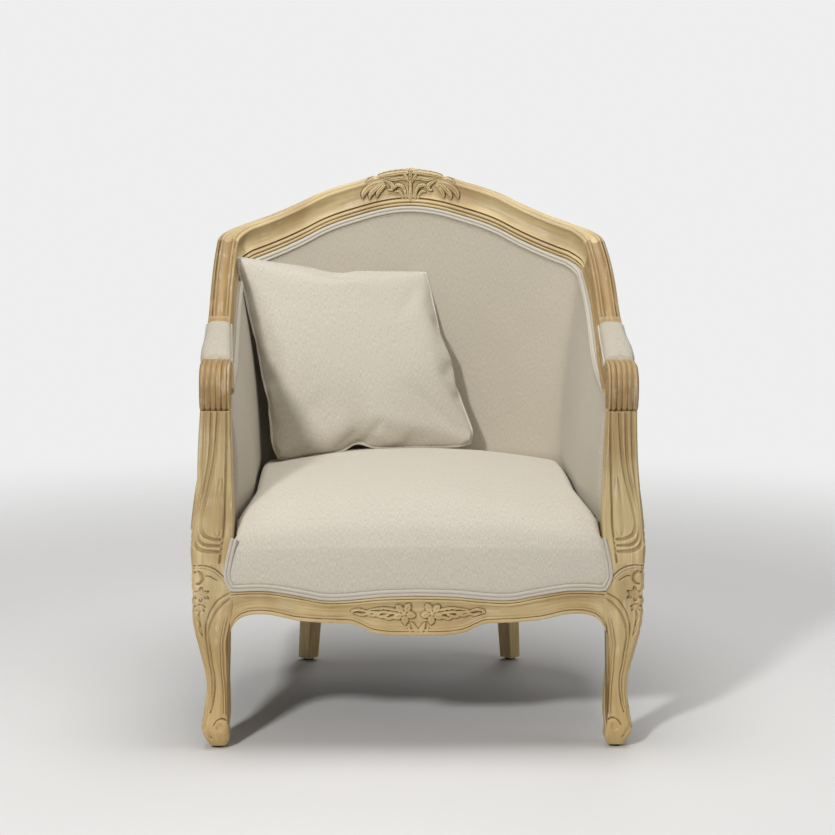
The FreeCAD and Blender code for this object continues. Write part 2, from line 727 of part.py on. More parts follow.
def cushion_body(plan, thick):
    """Square cushion: crowned both ways, its sides drawn in between the corners."""
    half = CUSHION / 2 * plan
    seam = CUSHION_SEAM / 2
    rise = thick / 2 - seam
    halves = []
    for face in (1, -1):
        wires = []
        for up, corner, side in CUSHION_LEVELS:
            w = face * (seam + rise * up)
            h = half * corner
            m = (half - CUSHION_PULL) * side
            corners = [V(-h, w, -h), V(h, w, -h), V(h, w, h), V(-h, w, h)]
            mids = [V(0, w, -m), V(m, w, 0), V(0, w, m), V(-m, w, 0)]
            wires.append(wire(corners[0],
                              *[[mids[i], corners[(i + 1) % 4]] for i in range(4)]))
        halves.append(loft(wires))
        if face == 1:
            halves.append(Part.Face(wires[0]).extrude(V(0, -2 * seam, 0)))
    return halves[0].fuse(halves[1:]).removeSplitter()


# Build every piece, keyed by its node name
PARTS = {}


def pair(name, shape):
    PARTS[name + "_right"] = shape
    PARTS[name + "_left"] = mirrored(shape)


def dowel_between(p, way):
    """Dowel centred on a joint, and the slightly larger hole it sits in."""
    way = V(way).normalize()
    a = p - way * (DOWEL_L / 2)
    b = p + way * (DOWEL_L / 2)
    return rod(a, b, DOWEL_R), rod(a - way * 0.5, b + way * 0.5, DOWEL_R + 0.15)


def rail_direction(u, d, drop):
    return spot(u + 0.01, d, top_z(u + 0.01) - drop) - spot(u - 0.01, d, top_z(u - 0.01) - drop)


def bore_dowels(made):
    """Dowels of the post, crest, wing and arm joints, with their holes in the pieces."""
    post_x = HALF_W - 2 - BLOCK / 2
    post_y = FRONT + 2 + POST_T / 2
    arm_u = side_u(PAD_REAR_Y)
    joints = []
    for shift in (-14, 14):
        joints.append(("leg", "post", V(post_x + shift, post_y, BLOCK_TOP_Z), V(0, 0, 1)))
    for one, other, u, d, drops in (("crest", "wing", 2, 19, (20, 42)),
                                    ("wing", "bed", arm_u, 18, (26, 44))):
        for drop in drops:
            joints.append((one, other, spot(u, d, top_z(u) - drop), rail_direction(u, d, drop)))
    dowels = []
    for one, other, p, way in joints:
        dowel, hole = dowel_between(p, way)
        dowels.append(dowel)
        for name in (one, other):
            made[name] = made[name].cut(hole)
            if name == "crest":
                made[name] = made[name].cut(mirrored(hole))
    return dowels


def set_glides(made):
    """Floor glides, with their shanks bored into the feet."""
    foot = HALF_W - LEG_LINE[0][1] - LEG_LINE[0][2] / 2
    foot_y = FRONT + LEG_LINE[0][1] + LEG_LINE[0][2] / 2
    pins = [glide(REAR_FOOT_X, REAR_FOOT_Y), glide(-REAR_FOOT_X, REAR_FOOT_Y),
            glide(foot, foot_y), glide(-foot, foot_y)]
    for pin in pins:
        made["leg"] = made["leg"].cut(pin)
        made["rear_leg"] = made["rear_leg"].cut(pin)
    return pins


def make_frame():
    """Show wood above, and the legs with their dowels and glides."""
    made = {"leg": front_leg(), "post": arm_post(), "wing": wing_rail(), "bed": arm(),
            "crest": crest_rail(), "rear_leg": rear_leg()}
    dowels = bore_dowels(made)
    pins = set_glides(made)
    pair("front_leg", made["leg"])
    pair("rear_leg", made["rear_leg"])
    pair("arm_post", made["post"])
    pair("arm", made["bed"])
    pair("wing_rail", made["wing"])
    PARTS["crest_rail"] = made["crest"]
    PARTS["front_rail"] = front_rail()
    pair("wing_stile", upright(WING_STILE_U, SEAT_RAIL_TOP + GAP / 2))
    PARTS["frame_dowels"] = Part.makeCompound(dowels + [mirrored(d) for d in dowels])
    PARTS["foot_glides"] = Part.makeCompound(pins)


def make_seat_rails():
    """Side and back seat rails, the front batten and the screwed corner blocks."""
    mortise = rear_leg_mortise()
    rail = rail_band(-BACK_LEAN_U, BACK_LEAN_U, 9, 4, 4 + SEAT_RAIL_T,
                     SEAT_RAIL_BOTTOM, SEAT_RAIL_TOP)
    end_u = 2 + (SEAT_CY - BLOCK_REAR_Y) / (SEAT_CY - POST_REAR_Y)
    side = rail_band(BACK_LEAN_U, end_u + 0.02, 12, -SIDE_RAIL_OUT, SEAT_RAIL_T - SIDE_RAIL_OUT,
                     SEAT_RAIL_BOTTOM, SEAT_RAIL_TOP)
    ahead = box(0, HALF_W + 9, BLOCK_REAR_Y - 60, BLOCK_REAR_Y, 0, BLOCK_TOP_Z)
    side = max(side.cut([mortise, ahead]).Solids, key=lambda s: s.Volume)
    back = max(rail.cut([mortise, mirrored(mortise)]).Solids, key=lambda s: s.Volume)
    batten = front_batten()
    block, screws = corner_block()
    for screw in screws:
        block = block.cut(screw)
        side = side.cut(screw)
        batten = batten.cut(screw).cut(mirrored(screw))
    pair("side_rail", side)
    PARTS["back_rail"] = back
    PARTS["front_batten"] = batten
    pair("corner_block", block)
    PARTS["corner_block_screws"] = Part.makeCompound(screws + [mirrored(p) for p in screws])


def dust_cloth(z):
    """Cloth closing the seat from below, its edge turned in under the rails."""
    edge = []
    for u in (3.0, 2.5, 2.0, 1.5, 1.0, 0.5):
        y = SEAT_LINE(u)[0].y - (12 if u < 1.6 else 0)
        edge.append(V(min(spot(u, 14, 0).x, SIDE_X - 14), max(y, BLOCK_REAR_Y + 1), z))
    edge += [flip(p) for p in edge[::-1]]
    return Part.Face(Part.makePolygon(edge + [edge[0]])).extrude(V(0, 0, DUST_T))


def make_seat():
    low = SEAT_RAIL_BOTTOM - WEB_T
    webs = []
    for i in range(WEBS_ACROSS):
        y = FIRST_WEB_Y + i * WEB_PITCH
        w = SIDE_X - 9
        webs.append(box(-w, w, y - WEB_W / 2, y + WEB_W / 2, low, low + WEB_T))
    for i in range(WEBS_ALONG):
        x = (i - (WEBS_ALONG - 1) / 2) * WEB_PITCH * 0.9
        rear = spot(min(1.0, abs(x) / 300), 14, SEAT_RAIL_BOTTOM).y
        webs.append(box(x - WEB_W / 2, x + WEB_W / 2, FRONT + 44, rear - 6, low - WEB_T, low))
    legs = [rear_leg_mortise(), mirrored(rear_leg_mortise())]
    PARTS["seat_webbing"] = Part.makeCompound([web.cut(legs) for web in webs])
    base = SEAT_RAIL_BOTTOM + SPRING_WIRE / 2 + 0.1
    springs = []
    for i, row in enumerate((4, 4, 2)):
        for k in range(row):
            x = (k - (row - 1) / 2) * WEB_PITCH * 0.9
            springs.append(coil_spring(x, FIRST_WEB_Y + i * WEB_PITCH, base, SPRING_TOP_Z))
    PARTS["seat_springs"] = Part.makeCompound(springs)
    lid = SPRING_TOP_Z + SPRING_WIRE / 2 + 0.2
    PARTS["seat_hessian"] = pocket(52, lid, lid + FABRIC)
    PARTS["seat_foam"] = seat_body(FABRIC + 2 * GAP).cut(
        pocket(36, SEAT_RAIL_TOP - 5, lid + FABRIC + GAP))
    PARTS["seat_cover"] = seat_skin()
    PARTS["seat_gimp"] = Part.makeCompound(seat_gimp())
    PARTS["dust_cover"] = dust_cloth(low - WEB_T - DUST_T - 0.2).cut(legs)


def make_back():
    PARTS["back_foam"] = tub_foam(-1.2, 1.2, 15)
    pair("side_foam", tub_foam(1.2, 3.0, 21))
    PARTS["inside_cover"] = banded(cover_ring)
    PARTS["back_gimp"] = banded(gimp_ring)
    u = BACK_LEAN_U
    PARTS["outside_back"] = outside_cover(-u, u, 11)
    pair("outside_arm", outside_cover(u + 0.004, 3.0, 19))
    webs = []
    d = STILE_D + STILE_T + 2 * GAP
    for z in BACK_WEBS_Z:
        webs.append(rail_band(-1.19, 1.19, 15, d, d + WEB_T, z - WEB_W / 2, z + WEB_W / 2))
    for z in SIDE_WEBS_Z:
        band = rail_band(1.21, 3.0, 21, d, d + WEB_T, z - WEB_W / 2, z + WEB_W / 2)
        webs += [band, mirrored(band)]
    PARTS["tub_webbing"] = Part.makeCompound(webs)


def make_pads():
    pad = arm_pad(0, 0)
    pair("arm_pad_foam", arm_pad(-FABRIC, GAP))
    pair("arm_pad_cover", pad.cut(arm_pad(GAP - FABRIC, -1)))


def settle(shape, way, others):
    """Move a shape along a way until it lies one gap from the others."""
    moved = 0.0
    for turn in range(8):
        reach = min(shape.distToShape(other)[0] for other in others) - GAP
        if reach < 0.1:
            break
        shape.translate(way * reach)
        moved += reach
    return moved


def make_cushion():
    """Scatter cushion: let down on the seat, then leant against the tub."""
    body = cushion_body(1.0, CUSHION_T)
    filling = cushion_body(0.955, CUSHION_T - 2 * FABRIC)
    cover = body.cut(cushion_body(0.96, CUSHION_T - 2 * FABRIC + GAP))
    for shape in (body, filling, cover):
        shape.rotate(V(0, 0, 0), V(0, 1, 0), CUSHION_ROLL)
        shape.rotate(V(0, 0, 0), V(1, 0, 0), -CUSHION_LEAN)
        shape.rotate(V(0, 0, 0), V(0, 0, 1), CUSHION_TURN)
        shape.translate(V(CUSHION_X, REAR - CUSHION_IN, CUSHION_Z))
    start = V(body.BoundBox.XMin, body.BoundBox.YMin, body.BoundBox.ZMin)
    seat = PARTS["seat_cover"]
    back = PARTS["inside_cover"]
    settle(body, V(0, 0, -1), [seat])
    settle(body, V(0, 1, 0), [back])
    settle(body, V(0, 0, -1), [seat, back])
    shift = V(body.BoundBox.XMin, body.BoundBox.YMin, body.BoundBox.ZMin) - start
    print("cushion settled by", [round(v, 1) for v in shift])
    for name, shape in (("cushion_filling", filling), ("cushion_cover", cover)):
        shape.translate(shift)
        PARTS[name] = shape


make_frame()
make_seat_rails()
make_seat()
make_back()
make_pads()
make_cushion()
os.makedirs("parts", exist_ok=True)
for name, shape in PARTS.items():
    shape.exportStep("parts/" + name + ".step")
    print(name, len(shape.Solids), "solids", shape.isValid(), round(shape.Volume / 1000, 1), "cm3")
everything = Part.makeCompound(list(PARTS.values())).BoundBox
print("box", [round(v, 1) for v in (everything.XMin, everything.XMax, everything.YMin,
                                    everything.YMax, everything.ZMin, everything.ZMax)])
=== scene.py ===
import math

import bpy
import numpy as np
from mathutils import Matrix, Vector


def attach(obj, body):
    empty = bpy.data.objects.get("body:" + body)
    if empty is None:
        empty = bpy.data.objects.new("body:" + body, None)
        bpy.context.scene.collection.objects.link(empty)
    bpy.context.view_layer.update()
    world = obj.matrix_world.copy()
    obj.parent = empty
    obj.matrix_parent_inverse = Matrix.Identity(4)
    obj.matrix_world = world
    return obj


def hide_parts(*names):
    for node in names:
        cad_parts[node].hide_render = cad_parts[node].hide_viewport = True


bl_info = {
    "name": "Bergere chair",
    "version": (1, 0, 0),
    "blender": (4, 5, 0),
    "location": "3D view > Sidebar > Bergere",
    "description": "Carved limed-wood bergere with linen upholstery and a loose cushion",
    "category": "Object",
}

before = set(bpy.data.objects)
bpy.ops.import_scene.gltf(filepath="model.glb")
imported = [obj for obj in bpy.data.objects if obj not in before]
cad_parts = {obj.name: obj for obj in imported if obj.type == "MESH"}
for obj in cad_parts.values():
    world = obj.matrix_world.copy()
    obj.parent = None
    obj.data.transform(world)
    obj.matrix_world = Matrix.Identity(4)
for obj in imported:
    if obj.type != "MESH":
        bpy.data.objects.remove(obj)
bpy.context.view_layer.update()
MM = 0.001


# Plan of the tub and the heights of its top line, in millimetres, as the CAD frame has them
HALF_W = 349.0
FRONT = -335.0
REAR = 335.0
SIDE_X = 337.0
POST_REAR_Y = -287.0
BLOCK_TOP = 300.0
BLOCK_IN = 285.0
SEAT_RAIL_TOP = 262.0
SEAT_RAIL_LOW = 212.0
SEAT_LINE_Z = 392.0
TUB_LOW_Z = 272.0
RAIL_H = 58.0
RAIL_T = 36.0
CREST = 871.0
GRIP_Y = -296.0
GRIP_Z = 613.0
GRIP_R = 39.0
PAD_REAR_Y = -62.0
PAD_START_Y = -76.0
APRON_TOP = ((0, 249), (62, 247), (104, 243), (142, 242), (188, 250), (236, 257), (262, 257),
             (290, 255.5))
APRON_LOW = ((0, 186), (58, 188.5), (72, 191.5), (88, 199), (100, 204), (125, 206), (150, 207),
             (188, 210.5), (236, 220), (262, 218.5), (276, 213), (284, 205), (290, 192))


# Arrays of numbers: curves, and the chair's plan

def ramp(lo, hi, x):
    """0 below lo, 1 above hi, in a straight line between."""
    return np.clip((x - lo) / (hi - lo), 0, 1)


def smooth(lo, hi, x):
    """0 below lo, 1 above hi, with a soft step between."""
    t = ramp(lo, hi, x)
    return t * t * (3 - 2 * t)


def hermite(px, py, slope, x):
    """Smooth curve through places px with their values and slopes, read at an array of places."""
    i = np.clip(np.searchsorted(px, x) - 1, 0, len(px) - 2)
    h = px[i + 1] - px[i]
    t = np.clip((x - px[i]) / h, 0, 1)
    a = 2 * t ** 3 - 3 * t ** 2 + 1
    return (a * py[i] + (t ** 3 - 2 * t ** 2 + t) * h * slope[i]
            + (1 - a) * py[i + 1] + (t ** 3 - t ** 2) * h * slope[i + 1])


def spline(points, x):
    """Smooth curve through (x, value) pairs, read at an array of places."""
    px, py = np.array(points, float).T
    return hermite(px, py, np.gradient(py, px), x)


def columns(rows, x):
    """Smooth curve through each column of (x, value, value ...) rows."""
    return [spline([(row[0], row[k]) for row in rows], x) for k in range(1, len(rows[0]))]


def row_at(rows, t):
    """Rows that shares t of the way through them fall on."""
    return rows[np.rint(t * (len(rows) - 1)).astype(int)]


def run_along(points):
    """Distance of each point of a line from its first."""
    return np.concatenate([[0], np.cumsum(np.hypot(*np.diff(points, axis=0).T))])


def xyz(x, y, z):
    return np.stack([x, y, z], axis=-1)


def ripple(*axes):
    """Gentle unevenness of hand work, from -1 to 1, out of a few crossed waves."""
    total = 0.0
    for k, axis in enumerate(axes):
        other = axes[(k + 1) % len(axes)]
        total = total + np.sin(axis + 1.7 * np.sin(other * 0.61 + k)) * np.cos(other * 0.83 + 2.1 * k)
    return total / len(axes)


def tub_line(back_y, back_r, corner_r):
    """Outer line of the tub in plan: 0 to 1 along the back, 1 to 2 the corner, 2 to 3 the side."""
    cx = SIDE_X - corner_r
    cy = back_y - back_r + math.sqrt((back_r - corner_r) ** 2 - cx * cx)
    turn = math.atan2(cy - back_y + back_r, cx)

    def at(u):
        a = np.where(u <= 1, math.pi / 2 - u * (math.pi / 2 - turn), turn * (2 - np.minimum(u, 2)))
        on_back = u <= 1
        on_side = u > 2
        x = np.where(on_back, back_r * np.cos(a), cx + corner_r * np.cos(a))
        y = np.where(on_back, back_y - back_r + back_r * np.sin(a), cy + corner_r * np.sin(a))
        y = np.where(on_side, cy + (u - 2) * (POST_REAR_Y - cy), y)
        return x, y, -np.cos(a), -np.sin(a)

    return at, cy, (math.pi / 2 - turn) * back_r, turn * corner_r


RAIL_LINE, RAIL_CY, BACK_RUN, CORNER_RUN = tub_line(REAR, 615.0, 78.0)
SEAT_LINE = tub_line(REAR - 77.0, 560.0, 150.0)[0]
CORNER_END = BACK_RUN + CORNER_RUN
FULL_RUN = CORNER_END + RAIL_CY - POST_REAR_Y
BACK_JOINT = 0.66 * BACK_RUN


def side_run(y):
    """Distance along the rail, from the middle of the back, of a place on the straight side."""
    return CORNER_END + RAIL_CY - y


def share_of(run):
    """Place along the tub, 0 to 3, of a distance along the rail."""
    run = np.abs(run)
    return np.where(run <= BACK_RUN, run / BACK_RUN,
                    np.where(run <= CORNER_END, 1 + (run - BACK_RUN) / CORNER_RUN,
                             2 + (run - CORNER_END) / (FULL_RUN - CORNER_END)))


TOP_LINE = ((0.0, CREST, 0.0), (0.29 * BACK_RUN, 857.5, -0.27), (0.6 * BACK_RUN, 826.5, -0.47),
            (BACK_RUN, 782.5, -0.27), (CORNER_END, 761.0, -0.25), (side_run(22.0), 703.0, -0.54),
            (side_run(PAD_REAR_Y), 653.0, -0.45), (side_run(-118.0), 636.0, -0.18),
            (FULL_RUN, GRIP_Z, -0.10))


def top_z(run):
    """Height of the show-wood rail's top."""
    return hermite(*np.array(TOP_LINE).T, np.minimum(np.abs(run), FULL_RUN))


def spot(run, d, z):
    """Points d inside the outer face of the leaning tub, at heights z; left runs are negative."""
    run, d, z = np.broadcast_arrays(np.asarray(run, float), d, z)
    u = share_of(run)
    x0, y0, nx0, ny0 = RAIL_LINE(u)
    x1, y1, nx1, ny1 = SEAT_LINE(u)
    rise = (z - SEAT_RAIL_TOP) / (top_z(run) - SEAT_RAIL_TOP)
    nx = nx0 + nx1
    ny = ny0 + ny1
    size = np.hypot(nx, ny)
    x = x1 + (x0 - x1) * rise + nx / size * d
    y = y1 + (y0 - y1) * rise + ny / size * d
    return xyz(np.where(run >= 0, x, -x), y, z)


def outline(*steps):
    """Section points from (depth, height) corners; a third number swells the run out to an arc."""
    points = [steps[0][:2]]
    for step in steps[1:]:
        x0, y0 = points[-1]
        x1, y1, swell, count = (tuple(step) + (0.0, 1))[:4]
        for k in range(1, count + 1):
            t = k / count
            out = swell * 4 * t * (1 - t)
            length = math.hypot(x1 - x0, y1 - y0)
            points.append((x0 + (x1 - x0) * t - (y1 - y0) / length * out,
                           y0 + (y1 - y0) * t + (x1 - x0) / length * out))
    return np.array(points)


def bead(distance, width, height):
    """Round bead or, with a negative height, groove, across a line at distance 0."""
    return height * np.sqrt(np.clip(1 - (distance / width) ** 2, 0, 1))


def curve_through(points, count):
    """Catmull-Rom curve through rows of numbers."""
    p = np.array(points, float)
    if len(p) == 2:
        return p[0] + (p[1] - p[0]) * np.linspace(0, 1, count)[:, None]
    p = np.vstack([2 * p[0] - p[1], p, 2 * p[-1] - p[-2]])
    q = np.linspace(0, len(p) - 3 - 1e-6, count)
    i = q.astype(int)
    t = (q - i)[:, None]
    a, b, c, d = p[i], p[i + 1], p[i + 2], p[i + 3]
    return 0.5 * (2 * b + (c - a) * t + (2 * a - 5 * b + 4 * c - d) * t * t
                  + (3 * b - a - 3 * c + d) * t ** 3)


def carve(x, z, strokes):
    """Height of gouged strokes: rows of (x, z, radius), a rise, below 0 for a hollow, and a vein."""
    height = np.zeros(x.shape)
    for rows, rise, vein in strokes:
        spots = np.array(rows, float)
        length = np.hypot(*np.diff(spots[:, :2], axis=0).T).sum()
        axis = curve_through(rows, int(length) + 8)
        reach = spots[:, 2].max() + 1.0
        near = ((x > axis[:, 0].min() - reach) & (x < axis[:, 0].max() + reach)
                & (z > axis[:, 1].min() - reach) & (z < axis[:, 1].max() + reach))
        if not near.any():
            continue
        far = np.hypot(x[near] - axis[:, 0:1], z[near] - axis[:, 1:2]) / np.maximum(axis[:, 2:3], 0.3)
        ratio = far.min(axis=0)
        ratio = np.minimum(ratio, 1)
        dome = rise * ((1 - ratio ** 2.6) ** 0.62 if rise > 0 else (1 - ratio ** 2) ** 2)
        dome = np.where(ratio < 1, dome - vein * rise * np.exp(-(ratio / 0.2) ** 2), 0)
        height[near] = np.maximum(height[near], dome) if rise > 0 else height[near] + dome
    return height


def mirrored_strokes(strokes, middle=0.0):
    return [([(2 * middle - x, z, r) for x, z, r in rows], rise, vein)
            for rows, rise, vein in strokes]


def petals(x, z, radius, start):
    """Five-petalled flower with a round eye."""
    strokes = []
    for k in range(5):
        a = start + 2 * math.pi * k / 5
        c, s = math.cos(a), math.sin(a)
        strokes.append(([(x + radius * reach * c, z + radius * reach * s, radius * wide)
                         for reach, wide in ((0.36, 0.20), (0.68, 0.37), (1.06, 0.12))], 4.4, 0.25))
    strokes.append(([(x, z, radius * 0.29), (x, z + 0.1, radius * 0.29)], 6.4, 0.0))
    return strokes


# Blender: nets laid on surfaces, and what is done to every piece

def deselect():
    bpy.ops.object.select_all(action="DESELECT")


def select(*pieces):
    deselect()
    for piece in pieces:
        piece.select_set(True)
    bpy.context.view_layer.objects.active = pieces[0]


def apply(piece, kind, **settings):
    """Adds a modifier with its settings and applies it."""
    modifier = piece.modifiers.new(kind.title(), kind)
    for key, value in settings.items():
        setattr(modifier, key, value)
    select(piece)
    bpy.ops.object.modifier_apply(modifier=modifier.name)


def read(items, key, width=1, kind=float):
    """Numbers that Blender keeps on each of its items."""
    values = np.empty(len(items) * width, kind)
    items.foreach_get(key, values)
    return values if width == 1 else values.reshape(-1, width)


def points_of(piece):
    return read(piece.data.vertices, "co", 3) / MM


def set_points(piece, points):
    piece.data.vertices.foreach_set("co", (points * MM).ravel())
    piece.data.update()


def net(name, across, up, at, cloth_uv):
    """Grid of faces laid on a surface: at takes arrays of s and t, 0 to 1, and gives points in mm."""
    deselect()
    bpy.ops.mesh.primitive_grid_add(x_subdivisions=across, y_subdivisions=up, size=1,
                                    location=(0, 0, 0))
    piece = bpy.context.object
    mesh = piece.data
    piece.name = mesh.name = name
    s, t = np.clip(read(mesh.vertices, "co", 3)[:, :2] + 0.5, 0, 1).T
    set_points(piece, at(s, t))
    corner = read(mesh.loops, "vertex_index", kind=int)
    uv = np.stack(cloth_uv(s, t), axis=1)[corner] * MM
    mesh.uv_layers.active.data.foreach_set("uv", uv.ravel())
    return piece


def close_up(piece):
    """Merges the seam of a wrapped net, fills its open ends and turns its faces outwards."""
    select(piece)
    bpy.ops.object.mode_set(mode="EDIT")
    bpy.ops.mesh.select_all(action="SELECT")
    bpy.ops.mesh.remove_doubles(threshold=0.00002)
    bpy.ops.mesh.select_all(action="DESELECT")
    bpy.ops.mesh.select_mode(type="EDGE")
    bpy.ops.mesh.select_non_manifold()
    bpy.ops.mesh.fill_holes(sides=0)
    bpy.ops.mesh.select_mode(type="VERT")
    bpy.ops.mesh.select_all(action="SELECT")
    bpy.ops.mesh.normals_make_consistent(inside=False)
    bpy.ops.object.mode_set(mode="OBJECT")


def shell(*made):
    """Net that is closed to a solid."""
    piece = net(*made)
    close_up(piece)
    return piece


def raised(parts, relief, step=1e-3):
    """Surface whose points stand off a base by a relief, along its normal; parts gives the base's
    x, y and z, and what else the relief needs."""
    def base(s, t):
        return xyz(*parts(s, t)[:3])

    def at(s, t):
        a = base(np.minimum(s + step, 1), t) - base(np.maximum(s - step, 0), t)
        b = base(s, np.minimum(t + step, 1)) - base(s, np.maximum(t - step, 0))
        normal = np.cross(b, a)
        size = np.maximum(np.linalg.norm(normal, axis=1, keepdims=True), 1e-9)
        return base(s, t) + normal / size * relief(*parts(s, t))[:, None]

    return at


def keep_value(mesh, name, values):
    """Keeps a number on each point of a mesh."""
    attribute = mesh.attributes.new(name, "FLOAT", "POINT")
    attribute.data.foreach_set("value", values.astype(np.float32))


def mark_hollows(mesh):
    """Keeps on each point how far it lies in a groove or on a ridge, for the finish to paint shade
    into the grooves; a cut value on the mesh adds painted shade outlines.
    """
    co = read(mesh.vertices, "co", 3)
    normal = read(mesh.vertices, "normal", 3)
    a, b = read(mesh.edges, "vertices", 2, int).T
    degree = np.maximum(np.bincount(np.concatenate([a, b]), minlength=len(co)), 1)
    way = co[b] - co[a]
    way = way / np.maximum(np.linalg.norm(way, axis=1, keepdims=True), 1e-7)

    def mean_at_points(from_a, from_b):
        total = np.zeros(len(co))
        np.add.at(total, a, from_a)
        np.add.at(total, b, from_b)
        return total / degree

    bend = mean_at_points((way * normal[a]).sum(axis=1), -(way * normal[b]).sum(axis=1))
    for _ in range(2):
        bend = 0.5 * bend + 0.5 * mean_at_points(bend[b], bend[a])
    # Painted shade: a cut value kept on the mesh darkens the outlines of carved strokes.
    cut = mesh.attributes.get("cut")
    if cut is not None:
        bend = bend + read(cut.data, "value")
        mesh.attributes.remove(cut)
    keep_value(mesh, "hollow", bend)


def finish(piece, body, look, *nodes, angle=50.0):
    """Smooths a piece, gives it its finish, hangs it under its body and hides the CAD parts it stands
    for.
    """
    material, slot = finishes()[look]
    mesh = piece.data
    if slot == "limed_wood" and "hollow" not in mesh.attributes:
        mark_hollows(mesh)
    select(piece)
    bpy.ops.object.shade_smooth_by_angle(angle=math.radians(angle))
    mesh.materials.clear()
    mesh.materials.append(material)
    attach(piece, body)
    if nodes:
        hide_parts(*nodes)


def both_sides(piece, stem, look, *nodes, angle=50.0):
    """Finishes the right-hand piece and its mirror image; nodes are stems of CAD names."""
    piece.name = piece.data.name = stem + "_right"
    finish(piece, "chair", look, *[node + "_right" for node in nodes], angle=angle)
    mesh = piece.data.copy()
    mesh.transform(Matrix.Diagonal((-1, 1, 1, 1)))
    mesh.flip_normals()
    mesh.name = stem + "_left"
    twin = bpy.data.objects.new(stem + "_left", mesh)
    bpy.context.scene.collection.objects.link(twin)
    finish(twin, "chair", look, *[node + "_left" for node in nodes], angle=angle)
    return piece, twin


def joined(name, *pieces):
    select(*pieces)
    bpy.ops.object.join()
    piece = bpy.context.object
    piece.name = piece.data.name = name
    return piece


def stretched(piece, width, length, cut, *carriers):
    """Reckons the area of tight cloth cut from this size to a share of it, and keeps nothing."""
    cut * width * length


# Materials

class Value:
    """Socket that takes part in sums: an expression on it adds its Math nodes."""

    def __init__(self, recipe, socket):
        self.recipe = recipe
        self.socket = socket

    def math(self, operation, *others):
        return self.recipe.add("ShaderNodeMath", {"operation": operation},
                               dict(enumerate((self, *others))))

    def __add__(self, other):
        return self.math("ADD", other)

    def __mul__(self, other):
        return self.math("MULTIPLY", other)

    def __sub__(self, other):
        return self.math("SUBTRACT", other)

    def __rsub__(self, other):
        return (self * -1.0).math("ADD", other)

    def __pow__(self, other):
        return self.math("POWER", other)

    __radd__ = __add__
    __rmul__ = __mul__

    def sine(self):
        return self.math("SINE")

    def step(self, lo, hi):
        """Soft step from 0 at lo to 1 at hi."""
        return self.recipe.add("ShaderNodeMapRange", {"interpolation_type": "SMOOTHSTEP"},
                               {"Value": self, "From Min": lo, "From Max": hi})


class Recipe:
    """Nodes of a material, or of the world, under construction."""

    def __init__(self, owner):
        self.owner = owner
        owner.use_nodes = True
        self.tree = owner.node_tree
        self.tree.nodes.clear()

    def add(self, kind, settings=(), sockets=(), out=0):
        """Node of a kind with its settings, then the values or links of its sockets."""
        node = self.tree.nodes.new(kind)
        for key, value in dict(settings).items():
            setattr(node, key, value)
        for key, value in dict(sockets).items():
            if isinstance(value, Value):
                self.tree.links.new(value.socket, node.inputs[key])
            else:
                node.inputs[key].default_value = value
        return Value(self, node.outputs[out]) if len(node.outputs) else None

    def uv(self):
        return self.add("ShaderNodeTexCoord", out=2)

    def place(self):
        """Place on the object."""
        return self.add("ShaderNodeTexCoord", out=3)

    def split(self, vector):
        """The three parts of a vector."""
        first = self.add("ShaderNodeSeparateXYZ", {}, {"Vector": vector})
        return [Value(self, socket) for socket in first.socket.node.outputs]

    def mix(self, share, one, other):
        """Colour between two colours."""
        ends = [end if isinstance(end, Value) else (*end, 1) for end in (one, other)]
        return self.add("ShaderNodeMix", {"data_type": "RGBA"},
                        {0: share, 6: ends[0], 7: ends[1]}, out=2)

    def bump(self, height, strength, distance):
        return self.add("ShaderNodeBump", {}, {"Height": height, "Strength": strength,
                                               "Distance": distance})

    def noise(self, vector, scale, detail=3.0, roughness=0.55, distortion=0.0):
        """Noise at one scale, or at one for each axis where the grain runs one way."""
        if isinstance(scale, tuple):
            vector = self.add("ShaderNodeMapping", {}, {"Vector": vector, "Scale": scale})
            scale = 1.0
        return self.add("ShaderNodeTexNoise", {}, {
            "Vector": vector, "Scale": scale, "Detail": detail, "Roughness": roughness,
            "Distortion": distortion})

    def surface(self, **sockets):
        shader = self.add("ShaderNodeBsdfPrincipled", {},
                          {key.replace("_", " "): value for key, value in sockets.items()})
        self.add("ShaderNodeOutputMaterial", {}, {"Surface": shader})
        return self.owner


def linear(colour):
    return tuple(c / 12.92 if c <= 0.04045 else ((c + 0.055) / 1.055) ** 2.4 for c in colour)


def shade(colour, factor):
    return tuple(min(1.0, c * factor) for c in colour)


def toned(colour, tone):
    return tuple(c * f for c, f in zip(colour, tone))


